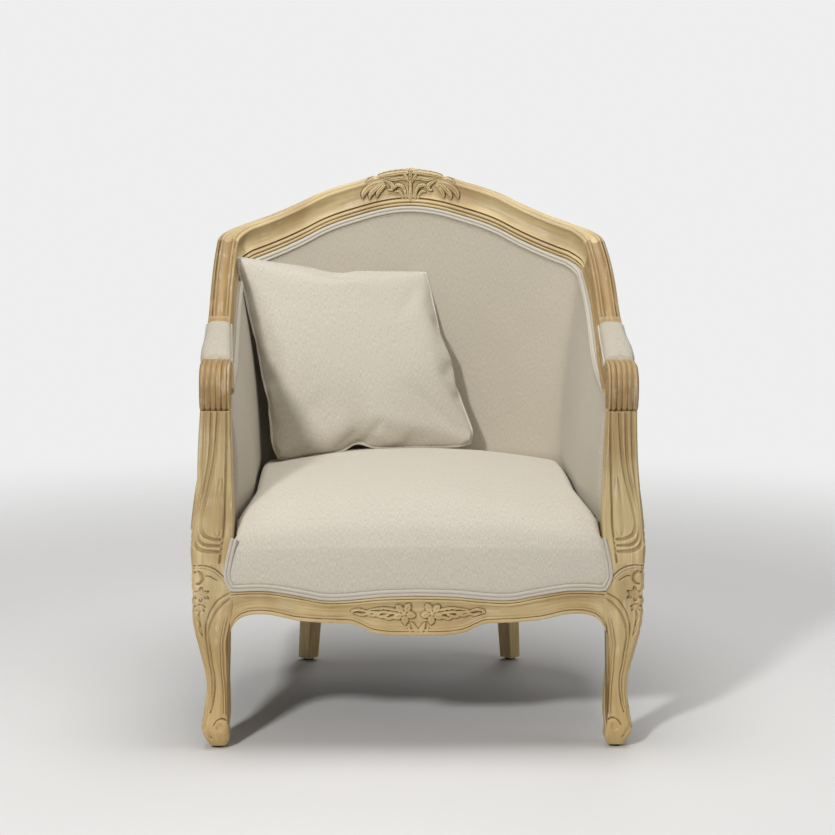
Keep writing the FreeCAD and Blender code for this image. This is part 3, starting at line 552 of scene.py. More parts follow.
def limed_wood(name, colour, upright=False):
    """Waxed oak-coloured beech with lime left in its pores and coves, and shade painted dark brown
    into its grooves.
    """
    r = Recipe(bpy.data.materials.new(name))
    world = r.place()
    place = world if upright else r.uv()
    honey = linear((0.60, 0.46, 0.27))
    lime_white = linear((0.86, 0.80, 0.70))
    rubbed = linear((0.90, 0.81, 0.62))
    # Deep brown of the painted shade in the grooves.
    groove_shadow_brown = linear((0.33, 0.215, 0.09))
    fine = (260.0, 260.0, 14.0) if upright else (14.0, 260.0, 260.0)
    wide = (60.0, 60.0, 5.0) if upright else (5.0, 60.0, 60.0)
    fibres = r.noise(place, fine, 4.0, 0.6)
    bands = r.noise(place, wide, 3.0, 0.55, 0.6)
    cloud = r.noise(world, 9.0, 3.0, 0.5)
    patch = r.noise(world, 26.0, 4.0, 0.6)
    hollow = r.add("ShaderNodeAttribute", {"attribute_name": "hollow"}, {}, out=2)
    # Painted shade: grooves and carved outlines are mixed towards the deep brown.
    gouge = hollow.step(0.025, 0.17)
    ridge = (hollow * -1.0).step(0.04, 0.22)
    near_floor = r.split(world)[2].step(0.29, 0.10)
    lime = fibres.step(0.50, 0.36) * patch.step(0.46, 0.66)
    base = r.mix(bands.step(0.30, 0.72), shade(colour, 0.78), shade(colour, 1.10))
    base = r.mix(cloud.step(0.42, 0.64) * 0.45, base, honey)
    base = r.mix(near_floor * 0.5, base, toned(colour, (0.80, 0.68, 0.45)))
    base = r.mix(fibres.step(0.52, 0.76) * 0.40, base, shade(colour, 0.46))
    base = r.mix(lime * 0.55, base, lime_white)
    base = r.mix(ridge * 0.45, base, rubbed)
    base = r.mix(gouge * 0.88, base, groove_shadow_brown)
    rough = bands.step(0.2, 0.8) * 0.16 + 0.40 + gouge * 0.2
    normal = r.bump(fibres * 0.6 + bands * 0.4, 0.28, 0.0012)
    return r.surface(Base_Color=base, Roughness=rough, Normal=normal)


def linen(name, colour):
    """Natural melange linen: crossed threads of uneven thickness with darker flecks."""
    r = Recipe(bpy.data.materials.new(name))
    place = r.uv()
    warp = r.noise(place, (1500.0, 160.0, 1500.0), 2.0, 0.6)
    weft = r.noise(place, (160.0, 1500.0, 160.0), 2.0, 0.6)
    fleck = r.noise(place, (420.0, 760.0, 420.0), 3.0, 0.7)
    cloud = r.noise(place, 16.0, 2.0)
    along, across, _ = r.split(place)
    threads = (along * 5200.0).sine() * 0.5 + (across * 5200.0).sine() * 0.5
    base = r.mix(warp.step(0.35, 0.66), shade(colour, 0.80), shade(colour, 1.10))
    base = r.mix(weft.step(0.36, 0.68) * 0.5, base, shade(colour, 1.16))
    base = r.mix(fleck.step(0.60, 0.72) * 0.62, base, linear((0.50, 0.46, 0.40)))
    base = r.mix(fleck.step(0.40, 0.30) * 0.35, base, linear((0.90, 0.87, 0.80)))
    base = r.mix(cloud.step(0.35, 0.7) * 0.12, base, shade(colour, 0.86))
    relief = threads * 0.3 + warp * 0.5 + weft * 0.5
    normal = r.bump(relief, 0.35, 0.0005)
    return r.surface(Base_Color=base, Roughness=0.93, Normal=normal, Sheen_Weight=0.12,
                     Sheen_Roughness=0.5, Specular_IOR_Level=0.25)


def piping_cord(name, colour):
    """Twisted cotton cord sewn side by side: pale, with slanting strands."""
    r = Recipe(bpy.data.materials.new(name))
    place = r.uv()
    along, across, _ = r.split(place)
    strand = (along * 3600.0 + across * 2400.0).sine()
    fuzz = r.noise(place, (900.0, 900.0, 900.0), 3.0, 0.6)
    base = r.mix(fuzz.step(0.3, 0.7), shade(colour, 0.86), shade(colour, 1.06))
    base = r.mix(strand.step(0.2, -0.9) * 0.30, base, shade(colour, 0.62))
    normal = r.bump(strand * 0.5 + fuzz * 0.5, 0.4, 0.0006)
    return r.surface(Base_Color=base, Roughness=0.9, Normal=normal, Sheen_Weight=0.1,
                     Specular_IOR_Level=0.25)


def plain(name, colour, roughness, grain, scale=(400.0, 400.0, 400.0), metallic=0.0):
    """Hidden work: wood, foam, webbing, steel and cloth, each with a little unevenness."""
    r = Recipe(bpy.data.materials.new(name))
    mottle = r.noise(r.place(), scale, 3.0, 0.6)
    base = r.mix(mottle.step(0.3, 0.7), shade(colour, 0.78), shade(colour, 1.1))
    normal = r.bump(mottle, grain, 0.0008)
    return r.surface(Base_Color=base, Roughness=mottle * 0.12 + roughness, Metallic=metallic,
                     Normal=normal)


# Settings that a user would change

class WoodSettings(bpy.types.PropertyGroup):
    """Finish of the show wood."""
    colour: bpy.props.FloatVectorProperty(
        name="Wood", description="Colour of the waxed wood", subtype="COLOR", size=3,
        min=0.0, max=1.0, default=linear((0.82, 0.73, 0.54)))


class ClothSettings(bpy.types.PropertyGroup):
    """Fabric of the upholstery, and the loose cushion."""
    colour: bpy.props.FloatVectorProperty(
        name="Linen", description="Colour of the linen", subtype="COLOR", size=3,
        min=0.0, max=1.0, default=linear((0.80, 0.772, 0.715)))
    piping: bpy.props.FloatVectorProperty(
        name="Piping", description="Colour of the double piping", subtype="COLOR", size=3,
        min=0.0, max=1.0, default=linear((0.83, 0.80, 0.74)))
    cushion_side: bpy.props.FloatProperty(
        name="Cushion side", description="Side of the flat cushion, in millimetres",
        default=344.0, min=250.0, max=400.0)
    cushion_thickness: bpy.props.FloatProperty(
        name="Cushion thickness", description="Fullness of the cushion's middle, in millimetres",
        default=112.0, min=40.0, max=160.0)
    cushion_frames: bpy.props.IntProperty(
        name="Cushion frames", description="Steps that the cushion's cloth settles for",
        default=30, min=1, max=80)


class StageSettings(bpy.types.PropertyGroup):
    """Light and camera."""
    key_power: bpy.props.FloatProperty(
        name="Key light", description="Power of the main lamp", subtype="POWER", unit="POWER",
        default=100.0, min=0.0, max=1000.0)
    lens: bpy.props.FloatProperty(
        name="Lens", description="Focal length of the camera", subtype="DISTANCE_CAMERA",
        default=94.85, min=20.0, max=300.0)


FINISH = {}


def finishes():
    """Materials of the chair, each with its slot name, made once."""
    if not FINISH:
        scene = bpy.context.scene
        wood = tuple(scene.bergere_wood.colour)
        fabric = tuple(scene.bergere_cloth.colour)
        beech = linear((0.80, 0.68, 0.50))
        jute = linear((0.66, 0.54, 0.38))
        even = (900.0, 900.0, 900.0)
        FINISH.update(
            wood=(limed_wood("limed_wood", wood), "limed_wood"),
            # Painted shade: a darker, more orange copy of the wood for the wing rails and arms.
            wood_worn=(limed_wood("limed_wood_worn", toned(wood, (0.62, 0.53, 0.42))),
                       "limed_wood"),
            wood_upright=(limed_wood("limed_wood_upright", wood, upright=True), "limed_wood"),
            linen=(linen("linen_weave", fabric), "linen"),
            # Painted shade: a darker copy of the linen for the tub lining and arm pads.
            linen_tub=(linen("linen_weave_with_painted_shade", toned(fabric, (0.84, 0.82, 0.78))), "linen"),
            piping=(piping_cord("double_piping", tuple(scene.bergere_cloth.piping)), "piping"),
            plain_beech=(plain("plain_beech", beech, 0.55, 0.2, (30.0, 300.0, 300.0)),
                         "plain_beech"),
            jute=(plain("jute_web", jute, 0.9, 0.6, even), "jute"),
            dust_cloth=(plain("dust_cloth", (0.012, 0.012, 0.013), 0.95, 0.4,
                              (1500.0, 1500.0, 1500.0)), "dust_cloth"),
            spring_steel=(plain("spring_steel", (0.45, 0.45, 0.46), 0.3, 0.05, metallic=1.0),
                          "spring_steel"),
            glide=(plain("foot_glide", (0.03, 0.022, 0.016), 0.5, 0.1), "glide"))
    return FINISH


# Show-wood rail

RAIL_SECTION = outline(
    (0, -58), (0, -30), (0, -6), (4.6, -0.9, 1.5, 5), (5.8, -3.4), (7.0, -1.6), (10.6, -1.2, 1.2, 4),
    (11.6, -3.2), (25.4, -3.2, -2.4, 8), (26.4, -1.2), (30.4, -1.2, 1.3, 4), (31.6, -3.8),
    (36.4, -8.6, 1.9, 6), (34.4, -10.6), (36.4, -42.4, -5.0, 14), (33.4, -44.4), (36.8, -46.2),
    (37.4, -51.4, 2.2, 5), (36.4, -52.2), (37.6, -57.6, 2.4, 5), (36, -58), (18, -58), (0, -58))


def swept(name, section, run0, run1, pitch, flow=None):
    """Closed rail: a section carried along the tub; flow may change its points by their run."""
    lengths = run_along(section)

    def at(s, t):
        run = run0 + s * (run1 - run0)
        d, h = row_at(section, t).T
        if flow is not None:
            d, h = flow(run, d, h)
        return spot(run, d, top_z(run) + h)

    def uv(s, t):
        return run0 + s * (run1 - run0), row_at(lengths, t)

    return shell(name, int(abs(run1 - run0) / pitch), len(section) - 1, at, uv)


# Right half of the plume: fronds, top leaves, scroll and the broad lobed side leaf
CREST_STROKES = [
    ([(8.0, 824, 3.4), (10.5, 838, 3.8), (16, 847, 4.4), (25, 849.5, 4.4), (30.5, 844.5, 2.4)],
     10.0, 0.12),
    ([(14, 823.5, 2.8), (16.5, 832.5, 3.2), (22, 838, 3.4), (28.5, 838, 2.0)], 9.0, 0.12),
    ([(3, 856, 2.4), (7, 862, 4.2), (11.5, 869, 2.8)], 10.4, 0.15),
    ([(6, 871, 3.6), (17, 871.5, 5.0), (31, 869.5, 5.8), (45, 867, 5.4), (57, 865.5, 3.0)],
     8.8, 0.12),
    ([(10, 859.5, 3.2), (19, 861.5, 4.6), (30, 859.5, 5.0), (41, 860.5, 4.0), (49, 862, 2.4)],
     9.4, 0.15),
    ([(48, 857.5, 3.0), (40, 854, 5.0), (34, 848, 5.4), (35.5, 841.5, 3.8), (41, 841, 2.4)],
     9.0, 0.10),
    ([(49, 863.5, 3.2), (61, 862.5, 5.2), (73, 858.5, 5.4), (85, 852.5, 2.6)], 8.0, 0.12),
    ([(51, 854, 3.2), (66, 851, 6.2), (79, 844.5, 7.2), (88.5, 835, 6.0), (91, 827, 2.4)],
     8.4, 0.10),
    ([(50, 851, 3.2), (62, 846, 5.6), (71.5, 838.5, 6.2), (76.5, 832, 4.8), (77.5, 826.5, 2.2)],
     9.6, 0.10),
    ([(49, 848.5, 3.0), (56, 842.5, 4.8), (61.5, 836, 4.8), (64, 829, 2.2)], 10.6, 0.10)]
CREST_CROWN = ((0, 9.0), (8, 7.6), (18, 6.6), (35, 6.0), (50, 5.2), (58, 4.0), (62, 1.6), (72, 2.2),
               (82, 1.2), (92, 0.0), (100, -4.0))


class BERGERE_OT_show_wood(bpy.types.Operator):
    """Crest rail with its carved plume, and the two wing rails"""
    bl_idname = "bergere.show_wood"
    bl_label = "Show-wood rail"

    def execute(self, context):
        crest = swept("crest_rail_moulding", RAIL_SECTION, -CORNER_END, CORNER_END, 3.0)
        crest = joined("crest_rail_carved", crest, self.plume())
        finish(crest, "chair", "wood", "crest_rail")
        wing = swept("wing_rail", RAIL_SECTION, CORNER_END, side_run(PAD_START_Y - 4), 1.6,
                     self.cross_bead)
        # The wing rails take the darker wood copy with painted shade.
        both_sides(wing, "wing_rail_carved", "wood_worn", "wing_rail")
        return {"FINISHED"}

    @staticmethod
    def cross_bead(run, d, h):
        """The beads end in a pale cross bead just above the arm pad."""
        place = run - side_run(PAD_START_Y) + 15.0
        top = h > -11.5
        flat = smooth(-3.5, -1.5, place) * top
        across = bead(place, 2.4, 2.0) * top
        return d, h * (1 - flat) + flat * np.where(d > 31, h, -3.0) + across

    @staticmethod
    def plume():
        """Carved spray in the middle of the crest, standing out of the cove."""
        half = 99.0
        low = 821.0
        face = 0.9
        strokes = CREST_STROKES + mirrored_strokes(CREST_STROKES)
        strokes.append(([(0, 822, 6.0), (0, 838, 4.2), (0, 857, 3.4)], 11, 0.0))
        strokes.append(([(0, 858, 3.0), (0, 866, 4.8), (0, 875, 2.8)], 11.4, 0.15))
        outline_shade = []

        def base(s, t):
            x = (2 * s - 1) * half
            top = top_z(x) + spline(CREST_CROWN, np.abs(x)) + 0.7 * np.abs(np.sin(x / 3.4))
            back = ramp(face, 1, t)
            z = low + (top - low) * (ramp(0, face, t) - back)
            lift = carve(x, z, strokes) * (1 + 0.05 * np.sin(x * 1.9 + z * 1.3))
            # Painted shade: a dark outline on the lower slopes of each carved stroke, kept for the
            # finish.
            outline_shade[:] = [0.2 * smooth(0.5, 2.5, lift) * smooth(6.6, 4.2, lift)]
            edge = smooth(0, 5, top - z)
            ground = 29.5 + 2.0 * smooth(858, 872, z)
            d = np.where(t <= face, (ground + lift) * edge + (24 + 0.8 * lift) * (1 - edge),
                         24 - 12 * smooth(0, 0.5, back))
            return spot(x, d, z)

        piece = net("crest_plume", 330, 118, base, lambda s, t: ((2 * s - 1) * half, t * 70))
        # The painted shade outline is stored on the mesh as the cut value.
        keep_value(piece.data, "cut", outline_shade[0])
        close_up(piece)
        return piece


# Arms, posts and legs

def rounded_frame(s, shares, x0, x1, y0, y1, r):
    """Points and inner coordinates round an upright with rounded corners: its four sides, front
    face first, end at the shares of s."""
    shares = np.array(shares)
    side = np.clip(np.searchsorted(shares, s, side="right") - 1, 0, 3)
    q = (s - shares[side]) / (shares[side + 1] - shares[side])
    hx = (x1 - x0) / 2
    hy = (y1 - y0) / 2
    flip = (side % 2) == 1
    along_half = np.where(flip, hy, hx)
    out_half = np.where(flip, hx, hy)
    straight = along_half - r
    total = 2 * straight + math.pi / 2 * r
    p = (q - 0.5) * total
    bend = np.clip((np.abs(p) - straight) / r, 0, math.pi / 4)
    along = np.where(np.abs(p) <= straight, p, np.sign(p) * (straight + r * np.sin(bend)))
    out = out_half - r + r * np.cos(bend)
    x = np.select([side == 0, side == 1, side == 2], [along, out, -along], -out)
    y = np.select([side == 0, side == 1, side == 2], [-out, along, out], -along)
    return x + (x0 + x1) / 2, y + (y0 + y1) / 2, side, p + total / 2, total


POST_LINE = ((0, 0, 62, 0), (0.15, 0, 63, 2), (0.32, 4, 60, 6), (0.5, 9, 53, 10), (0.72, 13, 48, 9),
             (0.88, 15, 45, 6), (1, 16, 44, 3))
POST_TOP = GRIP_Z - 2 * GRIP_R + 2.0


def post_strokes():
    """Bars that come down the post and curl inwards across its foot, beside a hollow panel."""
    return [
        ([(25, 536, 3.0), (22, 465, 3.2), (18, 428, 3.4), (10.5, 378, 3.6), (10.5, 357, 3.6),
          (17, 344, 3.4), (30, 338, 3.2), (43, 337, 2.8)], 3.4, 0.0),
        ([(15, 536, 2.8), (14.5, 465, 3.0), (11, 428, 3.1), (5.5, 378, 3.1), (5, 355, 3.2),
          (9, 338, 3.2), (20, 329, 3.1), (43, 327.5, 2.8)], 3.2, 0.0),
        ([(5, 536, 3.6), (5, 465, 3.6), (3.4, 428, 3.2), (2, 378, 2.6), (1.6, 348, 3.0),
          (5, 329, 3.4), (17, 320, 3.6), (42, 318, 3.0)], 3.6, 0.0),
        ([(38, 536, 2.4), (41, 428, 2.4), (46, 366, 2.4), (46, 340, 2.4), (42.5, 312, 2.4),
          (39, 290, 2.4)], 3.0, 0.0),
        ([(33, 432, 2.0), (34, 402, 6.0), (35.5, 378, 9.0), (36, 360, 8.5), (37, 346, 4.0)],
         -3.4, 0.0)]


LEG_LINE = ((5, 24, 27), (14, 19, 36), (33, 13, 42), (54, 18, 39), (76, 21, 36), (98, 22, 34.5),
            (122, 20, 34.5), (147, 15, 39), (172, 9.5, 44), (194, 5, 52), (215, 2.5, 59),
            (237, 2, 62), (300, 2, 62))


def leg_strokes():
    """Beads, volute, flower and husks on the leg, by distance from its outer corner and height."""
    strokes = [
        ([(62, 256, 2.0), (50, 251, 2.1), (35.6, 241, 2.2), (24.5, 224, 2.2), (17.5, 205, 2.1),
          (13.4, 184, 2.0), (11, 163, 1.9), (8, 136, 1.8), (7, 110, 1.8), (5, 83, 1.8),
          (4, 66, 1.8)], 2.0, 0.0),
        ([(62, 247.5, 2.4), (52, 242, 2.6), (43, 235, 2.8), (32, 221, 2.8), (23.5, 204, 2.6),
          (18, 187, 2.4), (14.5, 163, 2.2), (11.6, 136, 2.0), (11, 117, 1.9), (10.4, 100, 1.8),
          (8, 72, 1.8), (6, 60, 1.8)], 2.4, 0.0),
        ([(0, 296, 1.7), (14, 297.5, 1.7), (30, 293, 1.7), (42, 284, 1.7), (52, 271, 1.7)], 1.9, 0.0),
        ([(0, 291.5, 1.1), (14, 293, 1.1), (29, 288.5, 1.1), (40, 280, 1.1), (48, 270, 1.1)],
         1.1, 0.0),
        ([(2, 286, 2.4), (8, 287, 3.0), (13, 282, 3.4), (14, 275, 3.2), (10, 269, 2.8),
          (5, 268, 2.4)], 3.2, 0.0),
        ([(14, 280, 1.2), (24, 280.5, 1.7), (36, 274, 1.0)], 1.8, 0.0),
        ([(11, 251, 2.8), (11, 251.2, 2.8)], 4.4, 0.0)]
    x, z = 11, 251
    for angle, reach in ((85, 12), (150, 10), (210, 11), (268, 11), (335, 13), (25, 13)):
        c, s = math.cos(math.radians(angle)), math.sin(math.radians(angle))
        strokes.append(([(x + 2 * c, z + 2 * s, 1.6), (x + 0.6 * reach * c, z + 0.6 * reach * s, 4.2),
                         (x + reach * c, z + reach * s, 1.6)], 4.2, 0.2))
    for angle, reach in ((180, 8), (225, 9), (270, 9), (315, 9), (0, 8)):
        c, s = math.cos(math.radians(angle)), math.sin(math.radians(angle))
        strokes.append(([(9, 236, 1.6), (9 + 0.6 * reach * c, 233 + 0.6 * reach * s, 3.2),
                         (9 + reach * c, 232 + reach * s, 1.4)], 3.2, 0.3))
    for z, reach in ((214, 8.5), (195, 9.0)):
        strokes.append(([(8, z + reach, 1.4), (6.4, z, 3.4), (8, z - reach, 1.0)], 2.8, 0.25))
    return strokes


FOOT_SCROLL = [([(26, 37, 6.4), (26, 37.2, 6.4)], 2.6, 0.0),
               ([(16, 41, 1.0), (19, 47.5, 1.7), (26, 50.5, 1.9), (33, 48, 1.5)], 2.2, 0.0),
               ([(1, 40, 3.4), (6, 30, 4.0), (9, 20, 2.6)], 2.0, 0.0)]


class BERGERE_OT_arms(bpy.types.Operator):
    """Arm beds with their scrolled and reeded hand grips, and the moulded posts below"""
    bl_idname = "bergere.arms"
    bl_label = "Arms and posts"

    def execute(self, context):
        arm = joined("arm_carved_right", self.bed(), self.grip())
        # The arms take the darker wood copy with painted shade.
        both_sides(arm, "arm_carved", "wood_worn", "arm")
        both_sides(self.post(), "arm_post_moulded", "wood", "arm_post")
        return {"FINISHED"}

    @staticmethod
    def bed():
        """Straight part under the pad: the rail's own section with its top sunk for the pad."""
        run0 = side_run(PAD_REAR_Y)
        run1 = FULL_RUN
        section = outline((0, -58), (0, -19), (-1.0, -13.4, 1.0, 4), (3, -13), (32, -13),
                          (36.5, -14.5, 1.2, 4), (36.2, -43, -3.2, 10), (35, -44.6), (36.5, -46.4),
                          (38, -57.5, 3.0, 8), (36, -58), (18, -58), (0, -58))

        def flow(run, d, h):
            share = (run - run0) / (run1 - run0)
            return 7 * share + d * (1 + (42 / RAIL_T - 1) * share), h

        return swept("arm_bed", section, run0, run1, 3.0, flow)

    @staticmethod
    def grip():
        """Hand grip: a roll, reeded over its front, with a scroll cut in each cheek."""
        out_x = 334.0
        width = 46.0
        back = GRIP_Y + 30
        top = GRIP_Z - 6.5
        mid = top - GRIP_R
        rim = [(back, top - 12), (back, top + 1.5), (GRIP_Y + 12, top + 0.8)]
        for k in range(25):
            a = math.pi / 2 + math.pi * k / 48
            rim.append((GRIP_Y + GRIP_R * math.cos(a), mid + GRIP_R * math.sin(a)))
        rim += [(FRONT + 0.6, 558), (FRONT + 1.8, 549), (FRONT + 4, 541.5), (FRONT + 8, 537),
                (FRONT + 14, 534.5), (GRIP_Y, 533), (POST_REAR_Y, 534), (POST_REAR_Y, 542),
                (POST_REAR_Y, GRIP_Z - RAIL_H - 1),
                (back, GRIP_Z - RAIL_H + 2), (back, GRIP_Z - 40)]
        rim = np.array(rim + [rim[0]])
        steps = run_along(rim)
        heart = np.array([GRIP_Y, mid])

        def base(s, t):
            place = s * steps[-1]
            y = np.interp(place, steps, rim[:, 0])
            z = np.interp(place, steps, rim[:, 1])
            size = np.clip(np.minimum(t, 1 - t) / 0.22, 0, 1)
            w = ramp(0.22, 0.78, t)
            curve = np.maximum(np.hypot(y - heart[0], z - heart[1]), 1)
            front = smooth(back - 4, back - 16, y)
            toes = smooth(554, 541, z) * (y < GRIP_Y + 8)
            reed = (np.abs(np.sin(w * math.pi * 5.5)) ** 0.6 * 2.0 - 1.2) * (1 + 0.7 * toes)
            edge = np.minimum(w, 1 - w) * width
            round_off = 3.0 * (1 - np.sqrt(1 - (1 - ramp(0, 3, edge)) ** 2))
            pull = (reed * 0.9 * front - round_off) / curve
            scale = np.where(size >= 1, 1 + pull, size * (1 - 3.0 / curve))
            py = heart[0] + (y - heart[0]) * scale
            pz = heart[1] + (z - heart[1]) * scale
            x = out_x - w * width
            r = np.hypot(py - heart[0], pz - heart[1])
            a = np.arctan2(pz - heart[1], py - heart[0])
            turn = np.mod(r / 12.5 - a / (2 * math.pi), 1.0)
            scroll = np.where(r < 37, bead(np.abs(turn - 0.5), 0.34, 1.3) - 1.0, 0.0)
            scroll = np.where(r < 6, bead(r, 6, 0.9), scroll)
            x = x + np.where(size < 1, np.where(t < 0.5, scroll, -scroll) * (r < 37), 0)
            return xyz(x, py, pz)

        return shell("hand_grip", 150, 110, base, lambda s, t: (s * steps[-1], t * 90))

    @staticmethod
    def post():
        """Post with bars that spread down its face and curl across its foot."""
        strokes = post_strokes()
        z0 = BLOCK_TOP - 1.0
        z1 = POST_TOP - 1.0

        def parts(s, t):
            z = z0 + t * (z1 - z0)
            inset, width, back = columns(POST_LINE, ramp(BLOCK_TOP, POST_TOP, z))
            x1 = HALF_W - 2 - inset
            x, y, *rest = rounded_frame(s, (0.0, 0.44, 0.76, 0.80, 1.0), x1 - width, x1,
                                        FRONT + 2 + back, POST_REAR_Y - 0.3, 4.0)
            return x, y, z, *rest

        def relief(x, y, z, side, p, total):
            w = np.where(side == 0, total - p, p)
            depth = carve(w, z, strokes)
            fade = smooth(-1, 2, w) * smooth(0, 2, total - w)
            ground = 2.4 - 0.8 * smooth(318, 302, z)
            return np.where(side <= 1, (depth - ground) * fade, 0)

        return shell("arm_post_moulded_right", 130, 210, raised(parts, relief),
                     lambda s, t: (t * (z1 - z0), s * 210))


class BERGERE_OT_front_legs(bpy.types.Operator):
    """Carved cabriole legs with the corner blocks above them"""
    bl_idname = "bergere.front_legs"
    bl_label = "Front legs"

    def execute(self, context):
        strokes = leg_strokes()
        foot_z = 5.0

        def parts(s, t):
            z = foot_z + t * (BLOCK_TOP - foot_z)
            inset, thick = columns(LEG_LINE, z)
            x1 = HALF_W - inset
            y0 = FRONT + inset
            x, y, *rest = rounded_frame(s, (0.0, 0.25, 0.5, 0.75, 1.0), x1 - thick, x1, y0,
                                        y0 + thick, np.minimum(8.0, thick * 0.24))
            return x, y, z, *rest

        def relief(x, y, z, side, p, total):
            w = np.where(side == 0, total - p, np.where(side == 1, p, 99.0))
            depth = carve(w, z, strokes)
            inner = total - 4.0
            below = smooth(232, 205, z)
            depth = np.maximum(depth, bead(w - inner, 2.0, 2.0) * below)
            depth = np.maximum(depth, bead(w - inner + 4.5, 1.2, 1.1) * below)
            ground = 1.6 * smooth(0, 4, w)
            cove = 1.8 * smooth(14, 20, w) * smooth(0, 6, inner - 6 - w) * below * smooth(30, 60, z)
            foot = carve(w, z, FOOT_SCROLL)
            depth = np.where(z < 60, np.maximum(depth * smooth(52, 60, z), foot), depth)
            return np.where(side <= 1, depth - ground * smooth(20, 60, z) - cove, 0)

        leg = shell("front_leg_carved_right", 190, 250, raised(parts, relief),
                    lambda s, t: (t * (BLOCK_TOP - foot_z), s * 160))
        both_sides(leg, "front_leg_carved", "wood", "front_leg")
        return {"FINISHED"}


def apron_strokes():
    """Two flowers, sprays to both sides and a small leaf below, on the apron."""
    strokes = petals(-22, 221, 15.5, math.radians(60)) + petals(21, 221, 15.5, math.radians(48))
    sprays = [
        ([(-34, 226, 2.0), (-50, 229, 2.2), (-66, 228, 1.6), (-78, 226, 1.0)], 3.0, 0.2),
        ([(-34, 221, 2.2), (-52, 223, 2.4), (-70, 223, 2.0), (-88, 226, 1.4)], 3.4, 0.2),
        ([(-36, 216, 2.0), (-46, 213, 2.6), (-53, 215, 1.6)], 3.0, 0.2),
        ([(-46, 219, 2.0), (-57, 216, 2.6), (-65, 218, 1.6)], 3.0, 0.2),
        ([(-60, 221, 2.0), (-70, 218, 2.4), (-79, 220, 1.4)], 3.0, 0.2),
        ([(-74, 223, 1.8), (-86, 219, 2.2), (-96, 221, 1.4)], 3.0, 0.2),
        ([(-84, 226, 1.4), (-94, 227, 2.2), (-103, 224, 1.6), (-99, 221, 1.0)], 3.2, 0.1)]
    strokes += sprays + mirrored_strokes(sprays, -0.5)
    for side in (-1, 1):
        strokes.append(([(side * 1.5, 188.5, 2.0), (side * 5.5, 197, 4.0), (side * 10, 206, 1.5)],
                        4.0, 0.25))
        strokes.append(([(side * 7.5, 188.5, 1.6), (side * 12, 191.5, 2.6), (side * 15, 198, 1.2)],
                        3.4, 0.2))
    return strokes


class BERGERE_OT_apron(bpy.types.Operator):
    """Serpentine front apron with its beads, cove, flowers and sprays"""
    bl_idname = "bergere.apron"
    bl_label = "Front apron"

    def execute(self, context):
        strokes = apron_strokes()
        half = 290.0
        face = 0.8

        def at(s, t):
            x = (2 * s - 1) * half
            top = spline(APRON_TOP, np.abs(x))
            low = spline(APRON_LOW, np.abs(x))
            z = low + (top - low) * (ramp(0, face, t) - ramp(0.86, 0.94, t))
            step = 1.5 * smooth(288, 262, np.abs(x))
            y = (FRONT + 1 + 1.2 * (x / half) ** 2 + step
                 + (30 - step) * (ramp(face, 0.86, t) - ramp(0.94, 1, t)))
            up = top - z
            off = z - low
            depth = bead(up - 2.2, 2.3, 2.2)
            depth = np.maximum(depth, bead(up - 7.0, 1.7, 1.5))
            depth = np.maximum(depth, bead(off - 3.0, 3.0, 2.4))
            depth = np.maximum(depth, bead(off - 8.4, 1.8, 1.5))
            mid = (top - low) / 2
            across = np.clip(1 - ((up - mid) / np.maximum(mid - 9.5, 1)) ** 2, 0, 1)
            ground = -4.6 * across ** 0.6 * (0.5 + 0.5 * smooth(288, 262, np.abs(x)))
            carved = carve(x, z, strokes)
            depth = np.where(carved > 0, np.maximum(depth, carved - 1.4 + 0.35 * ground),
                             np.maximum(depth, 0) + ground)
            return xyz(x, np.where(t <= face, y - depth, y), z)

        apron = shell("front_rail_carved", 520, 82, at, lambda s, t: ((2 * s - 1) * half, t * 150))
        finish(apron, "chair", "wood", "front_rail")
        return {"FINISHED"}


class BERGERE_OT_seat_rails(bpy.types.Operator):
    """Curved side and back seat rails with a bead along both edges"""
    bl_idname = "bergere.seat_rails"
    bl_label = "Seat rails"

    def execute(self, context):
        low = SEAT_RAIL_LOW
        top = SEAT_RAIL_TOP
        section = outline((24, low), (-0.4, low), (-2.0, low + 1.5), (-2.0, low + 7.5, 1.4, 5),
                          (-0.2, low + 9), (-0.2, top - 11, -2.4, 10), (-2.0, top - 9.5),
                          (-2.0, top - 2, 1.5, 5), (-1.0, top), (25, top), (25, 240), (24, low))

        def level(run, d, h):
            return d, h - top_z(run)

        back = swept("back_rail_moulded", section + (7.0, 0.0), -BACK_JOINT + 24,
                     BACK_JOINT - 24, 5.0, level)
        finish(back, "chair", "wood", "back_rail")
        side = swept("side_rail_moulded_right", section, BACK_JOINT + 22, side_run(-255.0), 5.0,
                     level)
        both_sides(side, "side_rail_moulded", "wood", "side_rail")
        return {"FINISHED"}


# Upholstery

def foam_face(run):
    start = side_run(-120.0)
    share = ramp(start, FULL_RUN, np.abs(run))
    return 76.0 - 24.0 * share ** 1.5


def tub_face(run, z):
    """Depth of the padded inside of the tub at a height."""
    top = top_z(run) - RAIL_H - 2.0
    face = foam_face(run)
    line = SEAT_LINE_Z
    mid = (top + line) / 2
    a = np.minimum(41.0, face)
    b = (a + face) / 2 + 7.0
    upper = (a * (z - mid) * (z - line) / ((top - mid) * (top - line))
             + b * (z - top) * (z - line) / ((mid - top) * (mid - line))
             + face * (z - top) * (z - mid) / ((line - top) * (line - mid)))
    lower = face - 18 * (line - z) / (line - TUB_LOW_Z)
    return np.where(z >= line, upper, lower) + 1.9


